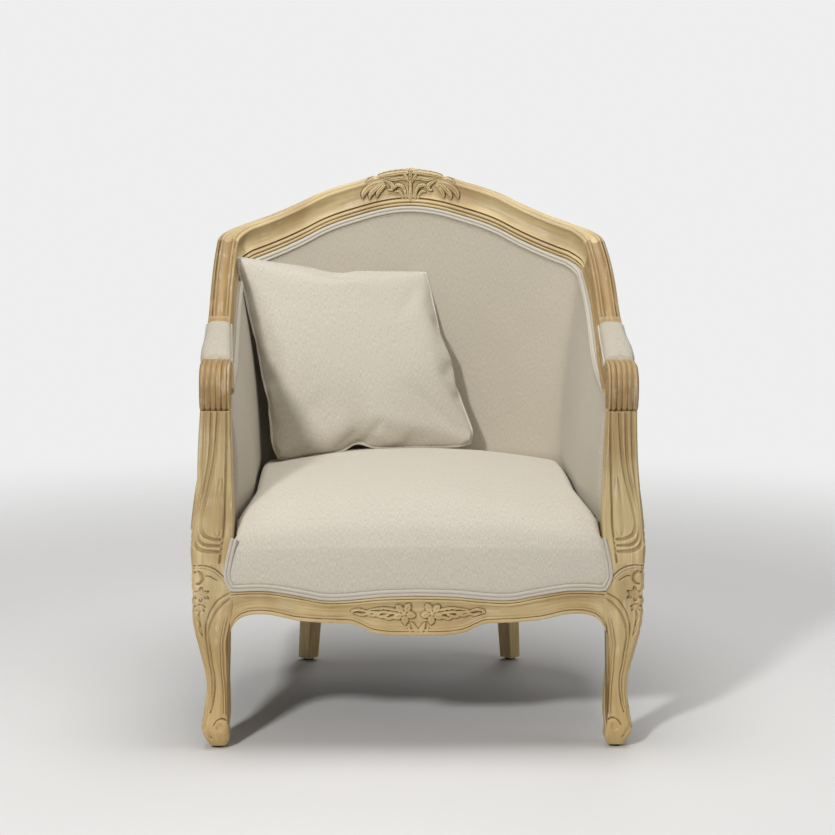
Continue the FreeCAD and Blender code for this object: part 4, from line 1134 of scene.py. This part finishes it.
class BERGERE_OT_tub_cloth(bpy.types.Operator):
    """Padded linen lining of the tub, and the tight panels outside it"""
    bl_idname = "bergere.tub_cloth"
    bl_label = "Tub upholstery"

    def execute(self, context):
        low = TUB_LOW_Z + 2.0
        behind = 32.6

        def lining(s, t):
            run = (2 * s - 1) * FULL_RUN
            top = top_z(run) - RAIL_H - 0.5
            over = ramp(0.84, 0.86, t)
            home = ramp(0.98, 1, t)
            z = low + (top - low) * (ramp(0, 0.84, t) - ramp(0.86, 0.98, t))
            pull = 1.1 * ripple(run / 95.0, z / 120.0) + 0.5 * ripple(run / 31.0, z / 74.0)
            near = ramp(FULL_RUN - 12, FULL_RUN, np.abs(run))
            face = (tub_face(run, z) + pull * smooth(0, 60, top - z)
                    - 8 * (1 - np.sqrt(1 - near * near)))
            return spot(run, face + (behind - face) * (over - home), z)

        piece = shell("tub_lining", 330, 110, lining,
                      lambda s, t: ((2 * s - 1) * FULL_RUN, t * 570))
        # The lining takes the darker linen copy with painted shade.
        finish(piece, "chair", "linen_tub", "inside_cover", "back_foam", "side_foam_left",
               "side_foam_right", angle=60)
        back = self.panel("outside_back_panel", -BACK_JOINT, BACK_JOINT)
        finish(back, "chair", "linen", "outside_back", angle=60)
        stretched(back, 0.40, 0.60, 0.9, "crest_rail_carved", "back_rail_moulded")
        side = self.panel("outside_arm_panel_right", BACK_JOINT + 0.6, FULL_RUN)
        for panel in both_sides(side, "outside_arm_panel", "linen", "outside_arm", angle=60):
            stretched(panel, 0.76, 0.52, 0.6, "crest_rail_carved",
                      panel.name.replace("outside_arm_panel", "side_rail_moulded"))
        return {"FINISHED"}

    @staticmethod
    def panel(name, run0, run1):
        """Tight outside panel from under the show wood down to the seat rail."""
        def at(s, t):
            run = run0 + s * (run1 - run0)
            low = SEAT_RAIL_TOP + 0.5
            top = top_z(run) - RAIL_H - 0.5
            z = low + t * (top - low)
            pull = 0.6 * ripple(run / 70.0, z / 90.0) * (1 - (2 * t - 1) ** 6)
            swell = (9 - 9 * (2 * t - 1) ** 2) * smooth(FULL_RUN, FULL_RUN - 46, run)
            return spot(run, 2.4 - swell + pull, z)

        piece = net(name, int((run1 - run0) / 5), 60, at,
                    lambda s, t: (run0 + s * (run1 - run0), t * 480))
        apply(piece, "SOLIDIFY", thickness=0.0014, offset=0)
        return piece


# Seat by distance from its front: height of the crown and of the edges
SEAT_FRONT = FRONT + 3.3
SEAT_REAR = float(spot(0, 77.6, SEAT_LINE_Z)[1]) - 3.0
SEAT_RUN = SEAT_REAR - SEAT_FRONT
SEAT_CROWN = ((0, 328), (8, 348), (26, 370), (56, 390), (100, 404), (150, 413), (220, 419),
              (290, 420), (350, 418), (410, 412), (455, 405), (SEAT_RUN - 30, 400),
              (SEAT_RUN - 14, 396), (SEAT_RUN, 390))
SEAT_EDGE = ((0, 324), (4, 336), (12, 347), (30, 359), (60, 370), (100, 378), (150, 384.5),
             (220, 388), (290, 389), (350, 388), (410, 384), (455, 381), (SEAT_RUN - 30, 379),
             (SEAT_RUN - 14, 377.5), (SEAT_RUN, 376))


def seat_half_width():
    """Half width of the seat by distance from the front, inside the tub's padding."""
    runs = np.linspace(0, FULL_RUN, 500)
    places = np.linspace(0, SEAT_RUN, 120)
    near = np.full(120, BLOCK_IN - 1.0)
    for z in (SEAT_LINE_Z, 300.0):
        face = spot(runs, tub_face(runs, np.full(500, z)) + 1.5, z)
        order = np.argsort(face[:, 1])
        wide = np.interp(places + SEAT_FRONT, face[order, 1], face[order, 0])
        near = np.where(places > 46, np.minimum(near, wide - 1.0), near)
    near = near - 3.5 * smooth(2, 8, places) * smooth(60, 40, places)
    near = np.where(places > SEAT_RUN - 6, near * 0.97, near)
    return places, near


SEAT_PLACES, SEAT_HALF = seat_half_width()


def seat_top(x, run):
    """Height of the seat's surface."""
    part = np.clip(x / np.interp(run, SEAT_PLACES, SEAT_HALF), -1, 1)
    edge = spline(SEAT_EDGE, run)
    return edge + (spline(SEAT_CROWN, run) - edge) * (1 - part * part)


class BERGERE_OT_seat(bpy.types.Operator):
    """Domed tight seat whose front rolls over down to the apron"""
    bl_idname = "bergere.seat"
    bl_label = "Seat"

    def execute(self, context):
        front_share = 0.14
        flat_share = 0.82
        round_share = 0.92

        def place(s, t):
            climb = ramp(0, front_share, t)
            run = SEAT_RUN * ramp(front_share, 1, t) ** 1.5
            q = np.abs(2 * s - 1)
            half = np.interp(run, SEAT_PLACES, SEAT_HALF) + 8 * np.sin(np.pi * climb)
            r = 3 + 15 * smooth(0.12, 0.3, t)
            bend = ramp(flat_share, round_share, q) * math.pi / 2
            flat = ramp(0, flat_share, q) * (half - r)
            x = np.sign(s - 0.5) * (flat + r * np.sin(bend))
            inward = r * (1 - np.cos(bend)) + 58 * ramp(round_share, 1, q)
            return climb, run, x, flat, inward

        def profile(s, t):
            climb, run, x, flat, _ = place(s, t)
            top = seat_top(flat, run)
            low = spline(APRON_TOP, np.abs(x)) + 0.6
            wrinkle = 0.8 * ripple(x / 66.0, run / 58.0) + 0.3 * ripple(x / 23.0, run / 27.0)
            z = low + (top - low) * climb + wrinkle * smooth(0.2, 0.4, t)
            y = SEAT_FRONT + run - 3.4 * np.sin(np.pi * climb) ** 0.6
            return x, y, z

        steps = np.linspace(0, 1, 500)
        middle = np.full(500, 0.5)
        lengths = run_along(np.stack(profile(middle, steps)[1:], axis=1))

        def at(s, t):
            inward = place(s, t)[4]
            x, y, z = profile(s, t)
            y0, z0 = profile(s, np.maximum(t - 0.004, 0))[1:]
            y1, z1 = profile(s, np.minimum(t + 0.004, 1))[1:]
            size = np.maximum(np.hypot(y1 - y0, z1 - z0), 1e-6)
            inward = inward / size
            return xyz(x, y + (z1 - z0) * inward, z - (y1 - y0) * inward)

        seat = shell("seat_upholstery", 190, 200, at,
                     lambda s, t: ((2 * s - 1) * 320, np.interp(t, steps, lengths)))
        finish(seat, "chair", "linen", "seat_cover", "seat_foam", angle=70)
        return {"FINISHED"}


def cord_section(width, height, count=7):
    """Two half-round cords side by side, as (across, out) pairs."""
    points = []
    for side in (0, 1):
        for k in range(count + 1):
            a = math.pi * k / count
            points.append((side * width / 2 + width / 4 * (1 - math.cos(a)),
                           height * (0.25 + 0.75 * math.sin(a))))
    return np.array([(0, 0)] + points + [(width, 0), (0, 0)])


class BERGERE_OT_piping(bpy.types.Operator):
    """Double piping below the show wood, along the apron and round the corner blocks"""
    bl_idname = "bergere.piping"
    bl_label = "Double piping"

    def execute(self, context):
        section = cord_section(10.5, 3.2)

        def along_rail(s, t):
            run = (2 * s - 1) * FULL_RUN
            across, out = row_at(section, t).T
            z = top_z(run) - RAIL_H - 0.3 - across
            return spot(run, tub_face(run, z) + 0.6 + out, z)

        def uv(s, t):
            return s * 2600, row_at(section, t)[:, 0]

        tub = shell("tub_piping", 620, len(section) - 1, along_rail, uv)
        finish(tub, "chair", "piping", "back_gimp", angle=75)
        path = [(287.5, 341), (292.5, 322), (296.5, 304), (299.2, 287), (298.6, 276), (294.5, 265.5),
                (289, 258), (281, 256.5)]
        path += [(x, spline(APRON_TOP, np.array([float(x)]))[0] + 0.5)
                 for x in (262, 245, 228, 210, 190, 170, 150, 130, 104, 78, 52, 26, 0)]
        whole = path + [(-x, z) for x, z in path[-2::-1]]
        line = curve_through(whole, 900)
        way = np.gradient(line, axis=0)
        way = way / np.linalg.norm(way, axis=1, keepdims=True)
        left = np.stack([-way[:, 1], way[:, 0]], axis=1)

        def along_apron(s, t):
            across, out = row_at(section, t).T
            point = row_at(line, s) - row_at(left, s) * across[:, None]
            return xyz(point[:, 0], FRONT - 0.2 - out * 0.8, point[:, 1])

        front = shell("seat_piping", len(line) - 1, len(section) - 1, along_apron, uv)
        finish(front, "chair", "piping", "seat_gimp", angle=75)
        return {"FINISHED"}


class BERGERE_OT_arm_pads(bpy.types.Operator):
    """Small stuffed pads on the arms with double piping round their foot"""
    bl_idname = "bergere.arm_pads"
    bl_label = "Arm pads"

    run0 = side_run(PAD_START_Y)
    run1 = side_run(GRIP_Y + 27.0)

    def bed(self, run):
        """Depths of the pad's two long sides, and the height of the bed."""
        share = (run - side_run(PAD_REAR_Y)) / (FULL_RUN - side_run(PAD_REAR_Y))
        s = (run - self.run0) / (self.run1 - self.run0)
        return 6 * share - 1, 36 + 13 * share, top_z(run) - 12.4 - 4.5 * smooth(0.6, 1, s)

    def execute(self, context):
        ends = ((0, 0.05), (0.02, 0.50), (0.07, 0.82), (0.2, 1), (0.5, 1.08), (0.8, 1), (0.94, 0.84),
                (0.985, 0.55), (1, 0.05))

        def at(s, t):
            run = self.run0 + s * (self.run1 - self.run0)
            a, b, low = self.bed(run)
            up = spline(ends, s)
            half = (b - a) / 2 - 3.5 + 5.0 * np.minimum(up, 1)
            angle = math.pi * t
            side = np.sign(np.cos(angle)) * np.abs(np.cos(angle)) ** 0.6
            lift = np.abs(np.sin(angle)) ** 0.62
            swell = 3.0 * smooth(0.35, 0.8, s) * smooth(1.02, 0.85, s) * (side < 0)
            puff = 0.5 * ripple(run / 30.0, side * 2.0) * lift
            return spot(run, (a + b) / 2 - (half + swell * np.abs(side)) * -side,
                        low + (20.5 * lift + puff) * up)

        pad = shell("arm_pad_right", 110, 44, at, lambda s, t: (s * 200, t * 90))
        # The pads take the darker linen copy with painted shade.
        for piece in both_sides(pad, "arm_pad", "linen_tub", "arm_pad_cover", "arm_pad_foam",
                                angle=180):
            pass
        section = cord_section(6.0, 2.4)

        def foot(s, t):
            """Round the pad's foot: outer side, front, inner side and back."""
            q = np.mod(s * 4, 4)
            side = np.floor(q)
            f = q - side
            sides = [side == 0, side == 1, side == 2]
            run = np.select(sides, [self.run0 + f * (self.run1 - self.run0), self.run1,
                                    self.run1 - f * (self.run1 - self.run0)], self.run0)
            a, b, low = self.bed(run)
            d = np.select(sides, [a - 0.5, a + f * (b - a), b + 0.5], b - f * (b - a))
            up, out = row_at(section, t).T
            d = d + np.select(sides, [-out, 0, out], 0)
            return spot(run + np.select(sides, [0, out, 0], -out), d, low + 0.4 + up)

        cord = shell("arm_pad_piping_right", 360, len(section) - 1, foot,
                     lambda s, t: (s * 560, t * 12))
        both_sides(cord, "arm_pad_piping", "piping", angle=75)
        return {"FINISHED"}


def tub_reach(x, y, z):
    """How far points lie from the tub's axis, and how far out its padding or rail is there."""
    axis_y = -60.0
    angles = np.linspace(-2.6, 2.6, 261)
    levels = np.linspace(390, 760, 38)
    runs = np.linspace(-FULL_RUN, FULL_RUN, 700)
    table = []
    for level in levels:
        low = top_z(runs) - RAIL_H
        depth = np.where(level > low, 38.5, tub_face(runs, np.minimum(level, low)) + 0.6)
        wall = spot(runs, depth, level)
        table.append(np.interp(angles, np.arctan2(wall[:, 0], wall[:, 1] - axis_y),
                               np.hypot(wall[:, 0], wall[:, 1] - axis_y)))
    table = np.array(table)
    place = np.clip((z - levels[0]) / (levels[1] - levels[0]), 0, len(levels) - 1.001)
    turn = np.clip((np.arctan2(x, y - axis_y) + 2.6) / (angles[1] - angles[0]), 0, 259.999)
    i, j = place.astype(int), turn.astype(int)
    f, g = place - i, turn - j
    wall = ((table[i, j] * (1 - g) + table[i, j + 1] * g) * (1 - f)
            + (table[i + 1, j] * (1 - g) + table[i + 1, j + 1] * g) * f)
    return np.hypot(x, y - axis_y), wall, axis_y


class BERGERE_OT_cushion(bpy.types.Operator):
    """Loose square cushion, blown up as cloth and leant in the left of the seat"""
    bl_idname = "bergere.cushion"
    bl_label = "Cushion"

    corners = np.array([(-235, 48, 391), (114, 106, 410), (-304, 148, 731), (28, 262, 697)], float)

    def execute(self, context):
        settings = context.scene.bergere_cloth
        count = 64
        side = settings.cushion_side

        def sheet(face):
            def at(s, t):
                dome = (1 - (2 * s - 1) ** 2) * (1 - (2 * t - 1) ** 2)
                return xyz((s - 0.5) * side, face * 9 * dome ** 0.5, (t - 0.5) * side)
            return at

        halves = [net("cushion_half", count, count, sheet(face),
                      lambda s, t: (s * side, t * side)) for face in (-1, 1)]
        body = joined("scatter_cushion", *halves)
        select(body)
        bpy.ops.object.mode_set(mode="EDIT")
        bpy.ops.mesh.select_all(action="SELECT")
        bpy.ops.mesh.remove_doubles(threshold=0.0001)
        bpy.ops.mesh.normals_make_consistent(inside=False)
        bpy.ops.object.mode_set(mode="OBJECT")
        flat = points_of(body)
        seam = np.flatnonzero(np.abs(flat[:, [0, 2]]).max(axis=1) > side / 2 - 0.5)
        seam = seam[np.argsort(np.arctan2(flat[seam, 2], flat[seam, 0]))]
        self.inflate(body, settings.cushion_frames)
        loop, out = self.lean(body, seam, settings.cushion_thickness)
        apply(body, "SUBSURF", levels=1, render_levels=1)
        body = joined("scatter_cushion", body, self.welt(loop, out))
        finish(body, "scatter_cushion", "linen", "cushion_cover", "cushion_filling", angle=70)
        return {"FINISHED"}

    @staticmethod
    def inflate(body, frames):
        """Lets the two sewn squares fill like a cushion."""
        modifier = body.modifiers.new("Cloth", "CLOTH")
        fabric = dict(quality=6, mass=0.3, tension_stiffness=30, compression_stiffness=30,
                      shear_stiffness=14, bending_stiffness=2.0, tension_damping=12,
                      compression_damping=12, shear_damping=12, air_damping=4,
                      use_pressure=True, uniform_pressure_force=5.0)
        for key, value in fabric.items():
            setattr(modifier.settings, key, value)
        modifier.settings.effector_weights.gravity = 0
        for step in range(1, frames + 1):
            bpy.context.scene.frame_set(step)
        select(body)
        bpy.ops.object.modifier_apply(modifier=modifier.name)
        bpy.context.scene.frame_set(1)
        apply(body, "SMOOTH", factor=0.5, iterations=7)

    @staticmethod
    def swell(body, side):
        """Quick stand-in shape, swelled without the cloth settling."""
        co = points_of(body)
        a, b = np.clip(np.abs(co[:, [0, 2]]).T / (side / 2), 0, 1)
        dome = ((1 - a ** 2.4) * (1 - b ** 2.4)) ** 0.5
        co[:, 0] *= 1 - 0.075 * (1 - b ** 2) * a ** 3
        co[:, 2] *= 1 - 0.075 * (1 - a ** 2) * b ** 3
        co[:, 1] = np.sign(co[:, 1]) * 58 * dome
        set_points(body, co)

    def lean(self, body, seam, thickness):
        """Sets the cushion's corners where it leans and presses it where it rests."""
        co = points_of(body)
        span = np.abs(co[seam][:, [0, 2]]).max()
        a = (co[:, 0] / span + 1) / 2
        b = (co[:, 2] / span + 1) / 2
        a, b = self.straightened(a, b, seam), self.straightened(b, a, seam)
        out_by = co[:, 1] * (thickness / 2 / np.abs(co[:, 1]).max())
        bl, br, tl, tr = self.corners
        out_by = out_by * (1 - 0.4 * np.clip(np.abs(2 * a - 1), 0, 1) ** 5)
        pinch = np.exp(-((a - 0.42) / 0.07) ** 2) * np.clip(1 - b, 0, 1) ** 7
        crease = np.exp(-((a - 0.42 - 0.75 * b) / 0.02) ** 2) * smooth(0.18, 0.03, b)
        out_by = out_by * (1 - 0.35 * pinch) + 9.0 * crease * (out_by < 0)
        for corner in (0, 1):
            ear = np.exp(-((a - corner) ** 2 + b ** 2) / 0.0035)
            a = a + (0.028 - 0.056 * corner) * ear
            b = b + 0.022 * ear
            out_by = out_by + np.sign(out_by) * 6.0 * ear
        b = b + 0.045 * pinch
        low = bl + (br - bl) * a[:, None]
        high = tl + (tr - tl) * a[:, None]
        up = tl - bl + tr - br
        across = br - bl + tr - tl
        out = np.cross(up, across)
        out = out / np.linalg.norm(out)
        point = low + (high - low) * b[:, None] + out * out_by[:, None]
        reach, wall, axis_y = tub_reach(*point.T)
        back = np.minimum(1, (wall - 1.2) / reach)
        point[:, 0] *= back
        point[:, 1] = axis_y + (point[:, 1] - axis_y) * back
        floor = seat_top(point[:, 0], np.clip(point[:, 1] - SEAT_FRONT, 0, SEAT_RUN)) + 1.0
        point[:, 2] = np.maximum(point[:, 2], floor)
        set_points(body, point)
        return point[seam], out

    @staticmethod
    def straightened(p, q, seam, amount=0.45):
        """Widens p, at each q, towards the full square, so that the seams bow in less."""
        sp, sq = p[seam], q[seam]
        ends = []
        for sense in (-1, 1):
            row = np.flatnonzero(sense * (sp - 0.5) >= np.abs(sq - 0.5) - 0.01)
            row = row[np.argsort(sq[row])]
            ends.append(np.interp(q, sq[row], sp[row]))
        return p + amount * ((p - ends[0]) / (ends[1] - ends[0]) - p)

    @staticmethod
    def welt(loop, out):
        """Knife-edge seam: a narrow flat lip all round."""
        count = len(loop)
        way = np.roll(loop, -2, axis=0) - np.roll(loop, 2, axis=0)
        way = way / np.linalg.norm(way, axis=1, keepdims=True)
        side = np.cross(out, way)
        side = side * np.sign(np.einsum("ij,ij->i", side, loop - loop.mean(axis=0)))[:, None]
        lip = np.array([(-3, -1.0), (0.6, -0.9), (2.2, -0.7), (2.8, 0), (2.2, 0.7), (0.6, 0.9),
                        (-3, 1.0), (-3, -1.0)])

        def at(s, t):
            i = np.rint(s * count).astype(int) % count
            row = row_at(lip, t)
            wave = 0.5 * np.sin(i * 0.55) + 0.4 * np.sin(i * 0.23 + 1)
            return loop[i] + side[i] * row[:, 0:1] + out * (row[:, 1] + wave)[:, None]

        return shell("cushion_welt", count, len(lip) - 1, at, lambda s, t: (s * 1400, t * 14))


# The rest of the chair, and the stage

WEB_WIDTH = 50.0
WEB_PITCH = 105.0
WEBS_ACROSS = [-215.0 + WEB_PITCH * i for i in range(4)]
WEBS_ALONG = [0.9 * WEB_PITCH * i for i in range(-2, 3)]
WEBS_Z = 210.9


def flat_cloth(name, across, up, at, size, thickness):
    """Thin cloth laid on a surface; size is its length and width in mm."""
    piece = net(name, across, up, at, lambda s, t: (s * size[0], t * size[1]))
    apply(piece, "SOLIDIFY", thickness=thickness, offset=0)
    return piece


def webs(name, strips, node, *carriers):
    """Jute webs as one piece, from the length of each and the surface that it follows."""
    made = [flat_cloth("web", max(12, int(length / 9)), 4, at, (length, WEB_WIDTH), 0.0009)
            for length, at in strips]
    piece = joined(name, *made)
    finish(piece, "chair", "jute", node, angle=60)
    total = sum(length for length, _ in strips)
    stretched(piece, WEB_WIDTH * MM, total * MM, 1.0, *carriers)


def woven(place, sense, lines):
    """Rise and fall of a web over and under the webs that cross it."""
    return sum((-1) ** k * sense * np.exp(-((place - line) / 34) ** 2)
               for k, line in enumerate(lines))


class BERGERE_OT_webs_and_cloths(bpy.types.Operator):
    """Interlaced jute webs of seat and tub, hessian over the springs and dust cloth below"""
    bl_idname = "bergere.webs_and_cloths"
    bl_label = "Webs and hidden cloths"

    def execute(self, context):
        rail = spot(np.linspace(0, FULL_RUN, 400), 16.0, SEAT_RAIL_LOW)
        turn = int(np.argmax(rail[:, 0] > 320.5))

        def rear(x):
            edge = np.interp(np.abs(x), rail[:turn, 0], rail[:turn, 1]) - 8
            notch = smooth(128, 136, np.abs(x)) * smooth(224, 216, np.abs(x))
            return edge - (edge - 180) * notch * (edge > 180)

        def dust(s, t):
            x = (2 * s - 1) * 320
            y = -269 + t * (rear(x) + 269)
            sag = 4.0 * (1 - (2 * s - 1) ** 2) * np.sin(np.pi * t)
            return xyz(x, y, 208.8 - sag)

        cloth = flat_cloth("dust_cloth_below", 150, 60, dust, (640, 500), 0.0005)
        finish(cloth, "chair", "dust_cloth", "dust_cover", angle=60)
        stretched(cloth, 0.66, 0.52, 0.85, "side_rail_moulded_left", "side_rail_moulded_right")

        def hessian(s, t):
            y = -270 + t * 408
            half = np.minimum(np.interp(y - SEAT_FRONT, SEAT_PLACES, SEAT_HALF) - 62, 222)
            x = (2 * s - 1) * half
            return xyz(x, y, 341.0 + 0.35 * ripple(x / 30, y / 30))

        cover = flat_cloth("hessian_over_springs", 90, 80, hessian, (440, 410), 0.0008)
        finish(cover, "chair", "jute", "seat_hessian", angle=60)
        stretched(cover, 0.46, 0.42, 0.88, "seat_springs")
        strips = [self.web_across(*web) for web in enumerate(WEBS_ACROSS)]
        strips += [self.web_along(*web) for web in enumerate(WEBS_ALONG)]
        webs("seat_webs_woven", strips, "seat_webbing", "side_rail_moulded_left",
             "side_rail_moulded_right", "front_batten")
        turn = BACK_RUN + 0.19 * CORNER_RUN
        start = BACK_RUN + 0.21 * CORNER_RUN
        bands = [(-turn, turn, z) for z in (360.0, 475.0, 585.0, 685.0)]
        for z in (350.0, 450.0):
            bands += [(start, FULL_RUN - 1, z), (-FULL_RUN + 1, -start, z)]
        webs("tub_webs", [self.web_round(*band) for band in bands], "tub_webbing",
             "rear_leg_left", "rear_leg_right")
        return {"FINISHED"}

    @staticmethod
    def web_across(i, y0):
        """Web from side rail to side rail."""
        half = 326

        def at(s, t):
            x = (2 * s - 1) * half
            rise = 0.55 * woven(x, (-1) ** i, WEBS_ALONG)
            return xyz(x, y0 + (t - 0.5) * WEB_WIDTH, WEBS_Z + rise)

        return 2 * half, at

    @staticmethod
    def web_along(j, x0):
        """Web from the front batten to the back rail."""
        front = -289
        back = float(spot(0.0, 16.0, SEAT_RAIL_LOW)[1]) - 26 - 0.0011 * x0 * x0

        def at(s, t):
            y = front + s * (back - front)
            rise = 0.55 * woven(y, (-1) ** j, WEBS_ACROSS)
            return xyz(x0 - (t - 0.5) * WEB_WIDTH, y, WEBS_Z - rise)

        return back - front, at

    @staticmethod
    def web_round(run0, run1, z):
        """Web along the tub, behind the padding."""
        def at(s, t):
            run = run0 + s * (run1 - run0)
            return spot(run, 31.9 + 0.1 * np.sin(run / 9), z + (t - 0.5) * WEB_WIDTH)

        return run1 - run0, at


class BERGERE_OT_hidden_work(bpy.types.Operator):
    """Finishes of the CAD pieces that stay as they are"""
    bl_idname = "bergere.hidden_work"
    bl_label = "Hidden frame and seat work"

    def execute(self, context):
        looks = {"rear_leg_left": "wood_upright", "rear_leg_right": "wood_upright",
                 "seat_springs": "spring_steel", "corner_block_screws": "spring_steel",
                 "foot_glides": "glide"}
        for name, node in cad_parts.items():
            if not node.hide_render:
                node.data.materials.clear()
                node.data.materials.append(finishes()[looks.get(name, "plain_beech")][0])
        return {"FINISHED"}


class BERGERE_OT_stage(bpy.types.Operator):
    """Pale floor, soft studio light and the camera"""
    bl_idname = "bergere.stage"
    bl_label = "Stage"

    def execute(self, context):
        settings = context.scene.bergere_stage
        self.floor()
        self.world(context)
        chair = (0, 0, 0.45)
        lamps = (("key_lamp", (-1.55, -3.5, 2.45), chair, 0.4, 1.0),
                 ("sky_lamp", (0.0, -0.2, 3.4), chair, 2.2, 0.62),
                 ("fill_lamp", (3.3, -0.9, 1.5), chair, 2.0, 0.16),
                 ("back_lamp", (0.8, 2.6, 2.8), (0, 0, 0.6), 2.0, 0.15))
        for name, place, target, size, share in lamps:
            self.lamp(name, place, target, size, settings.key_power * share)
        self.camera(context, settings.lens)
        context.scene.view_settings.view_transform = "Standard"
        return {"FINISHED"}

    @staticmethod
    def floor():
        """Pale floor that fades into the background."""
        deselect()
        bpy.ops.mesh.primitive_circle_add(vertices=96, radius=9, fill_type="NGON",
                                          location=(0, 0, 0))
        piece = bpy.context.object
        piece.name = "stage_floor"
        r = Recipe(bpy.data.materials.new("stage_floor"))
        x, y, _ = r.split(r.place())
        far = (x * x + y * y) ** 0.5
        piece.data.materials.append(r.surface(Base_Color=(0.80, 0.79, 0.78, 1), Roughness=0.75,
                                              Alpha=far.step(2.6, 0.9)))

    @staticmethod
    def world(context):
        """Dim even light, and a pale background for the camera alone."""
        context.scene.world = bpy.data.worlds.new("studio")
        r = Recipe(context.scene.world)
        light = r.add("ShaderNodeBackground", {}, {"Color": (1.0, 0.985, 0.96, 1),
                                                   "Strength": 0.13})
        shown = r.add("ShaderNodeBackground", {}, {"Color": (0.86, 0.86, 0.86, 1)})
        seen = r.add("ShaderNodeLightPath")
        mix = r.add("ShaderNodeMixShader", {}, {0: seen, 1: light, 2: shown})
        r.add("ShaderNodeOutputWorld", {}, {"Surface": mix})

    @staticmethod
    def lamp(name, place, target, size, power):
        light = bpy.data.lights.new(name, "AREA")
        light.shape = "DISK"
        light.size = size
        light.energy = power
        lamp = bpy.data.objects.new(name, light)
        lamp.location = place
        lamp.rotation_euler = (Vector(target) - Vector(place)).to_track_quat("-Z", "Y").to_euler()
        bpy.context.scene.collection.objects.link(lamp)

    @staticmethod
    def camera(context, lens):
        """The photograph's point of view: 3.6 m away, 1.03 m up, looking a little down."""
        place = Vector((-0.09588, -3.63731, 1.031))
        horizon = 335.5
        focal = 2200.0
        pitch = math.atan(horizon / focal)
        heading = math.radians(1.61)
        roll = math.radians(0.28)
        flat = Vector((math.sin(heading), math.cos(heading), 0))
        right = Vector((math.cos(heading), -math.sin(heading), 0))
        ahead = flat * math.cos(pitch) - Vector((0, 0, math.sin(pitch)))
        up = flat * math.sin(pitch) + Vector((0, 0, math.cos(pitch)))
        side = right * math.cos(roll) + up * math.sin(roll)
        top = up * math.cos(roll) - right * math.sin(roll)
        data = bpy.data.cameras.new("photo_camera")
        data.lens = lens
        data.sensor_width = 36.0
        data.clip_end = 50.0
        camera = bpy.data.objects.new("photo_camera", data)
        axes = Matrix((side, top, -ahead)).transposed().to_4x4()
        camera.matrix_world = Matrix.Translation(place) @ axes
        context.scene.collection.objects.link(camera)
        context.scene.camera = camera


OPERATORS = (BERGERE_OT_show_wood, BERGERE_OT_arms, BERGERE_OT_front_legs, BERGERE_OT_apron,
             BERGERE_OT_seat_rails, BERGERE_OT_tub_cloth, BERGERE_OT_seat, BERGERE_OT_piping,
             BERGERE_OT_arm_pads, BERGERE_OT_cushion, BERGERE_OT_webs_and_cloths,
             BERGERE_OT_hidden_work, BERGERE_OT_stage)


class BERGERE_PT_panel(bpy.types.Panel):
    """Lists the chair's pieces in the order they are made"""
    bl_label = "Bergere chair"
    bl_idname = "BERGERE_PT_panel"
    bl_space_type = "VIEW_3D"
    bl_region_type = "UI"
    bl_category = "Bergere"

    def draw(self, context):
        scene = context.scene
        for group in (scene.bergere_wood, scene.bergere_cloth, scene.bergere_stage):
            for key in group.bl_rna.properties.keys():
                if key not in ("rna_type", "name"):
                    self.layout.prop(group, key)
        for made in OPERATORS:
            self.layout.operator(made.bl_idname)


SETTINGS = {"bergere_wood": WoodSettings, "bergere_cloth": ClothSettings,
            "bergere_stage": StageSettings}
CLASSES = (*SETTINGS.values(), *OPERATORS, BERGERE_PT_panel)


def register():
    for made in CLASSES:
        bpy.utils.register_class(made)
    for name, group in SETTINGS.items():
        setattr(bpy.types.Scene, name, bpy.props.PointerProperty(type=group))


def unregister():
    for name in SETTINGS:
        delattr(bpy.types.Scene, name)
    for made in reversed(CLASSES):
        bpy.utils.unregister_class(made)


def main():
    register()
    for made in OPERATORS:
        getattr(bpy.ops.bergere, made.bl_idname.split(".")[1])()
    bpy.context.view_layer.update()


if __name__ == "__main__":
    main()
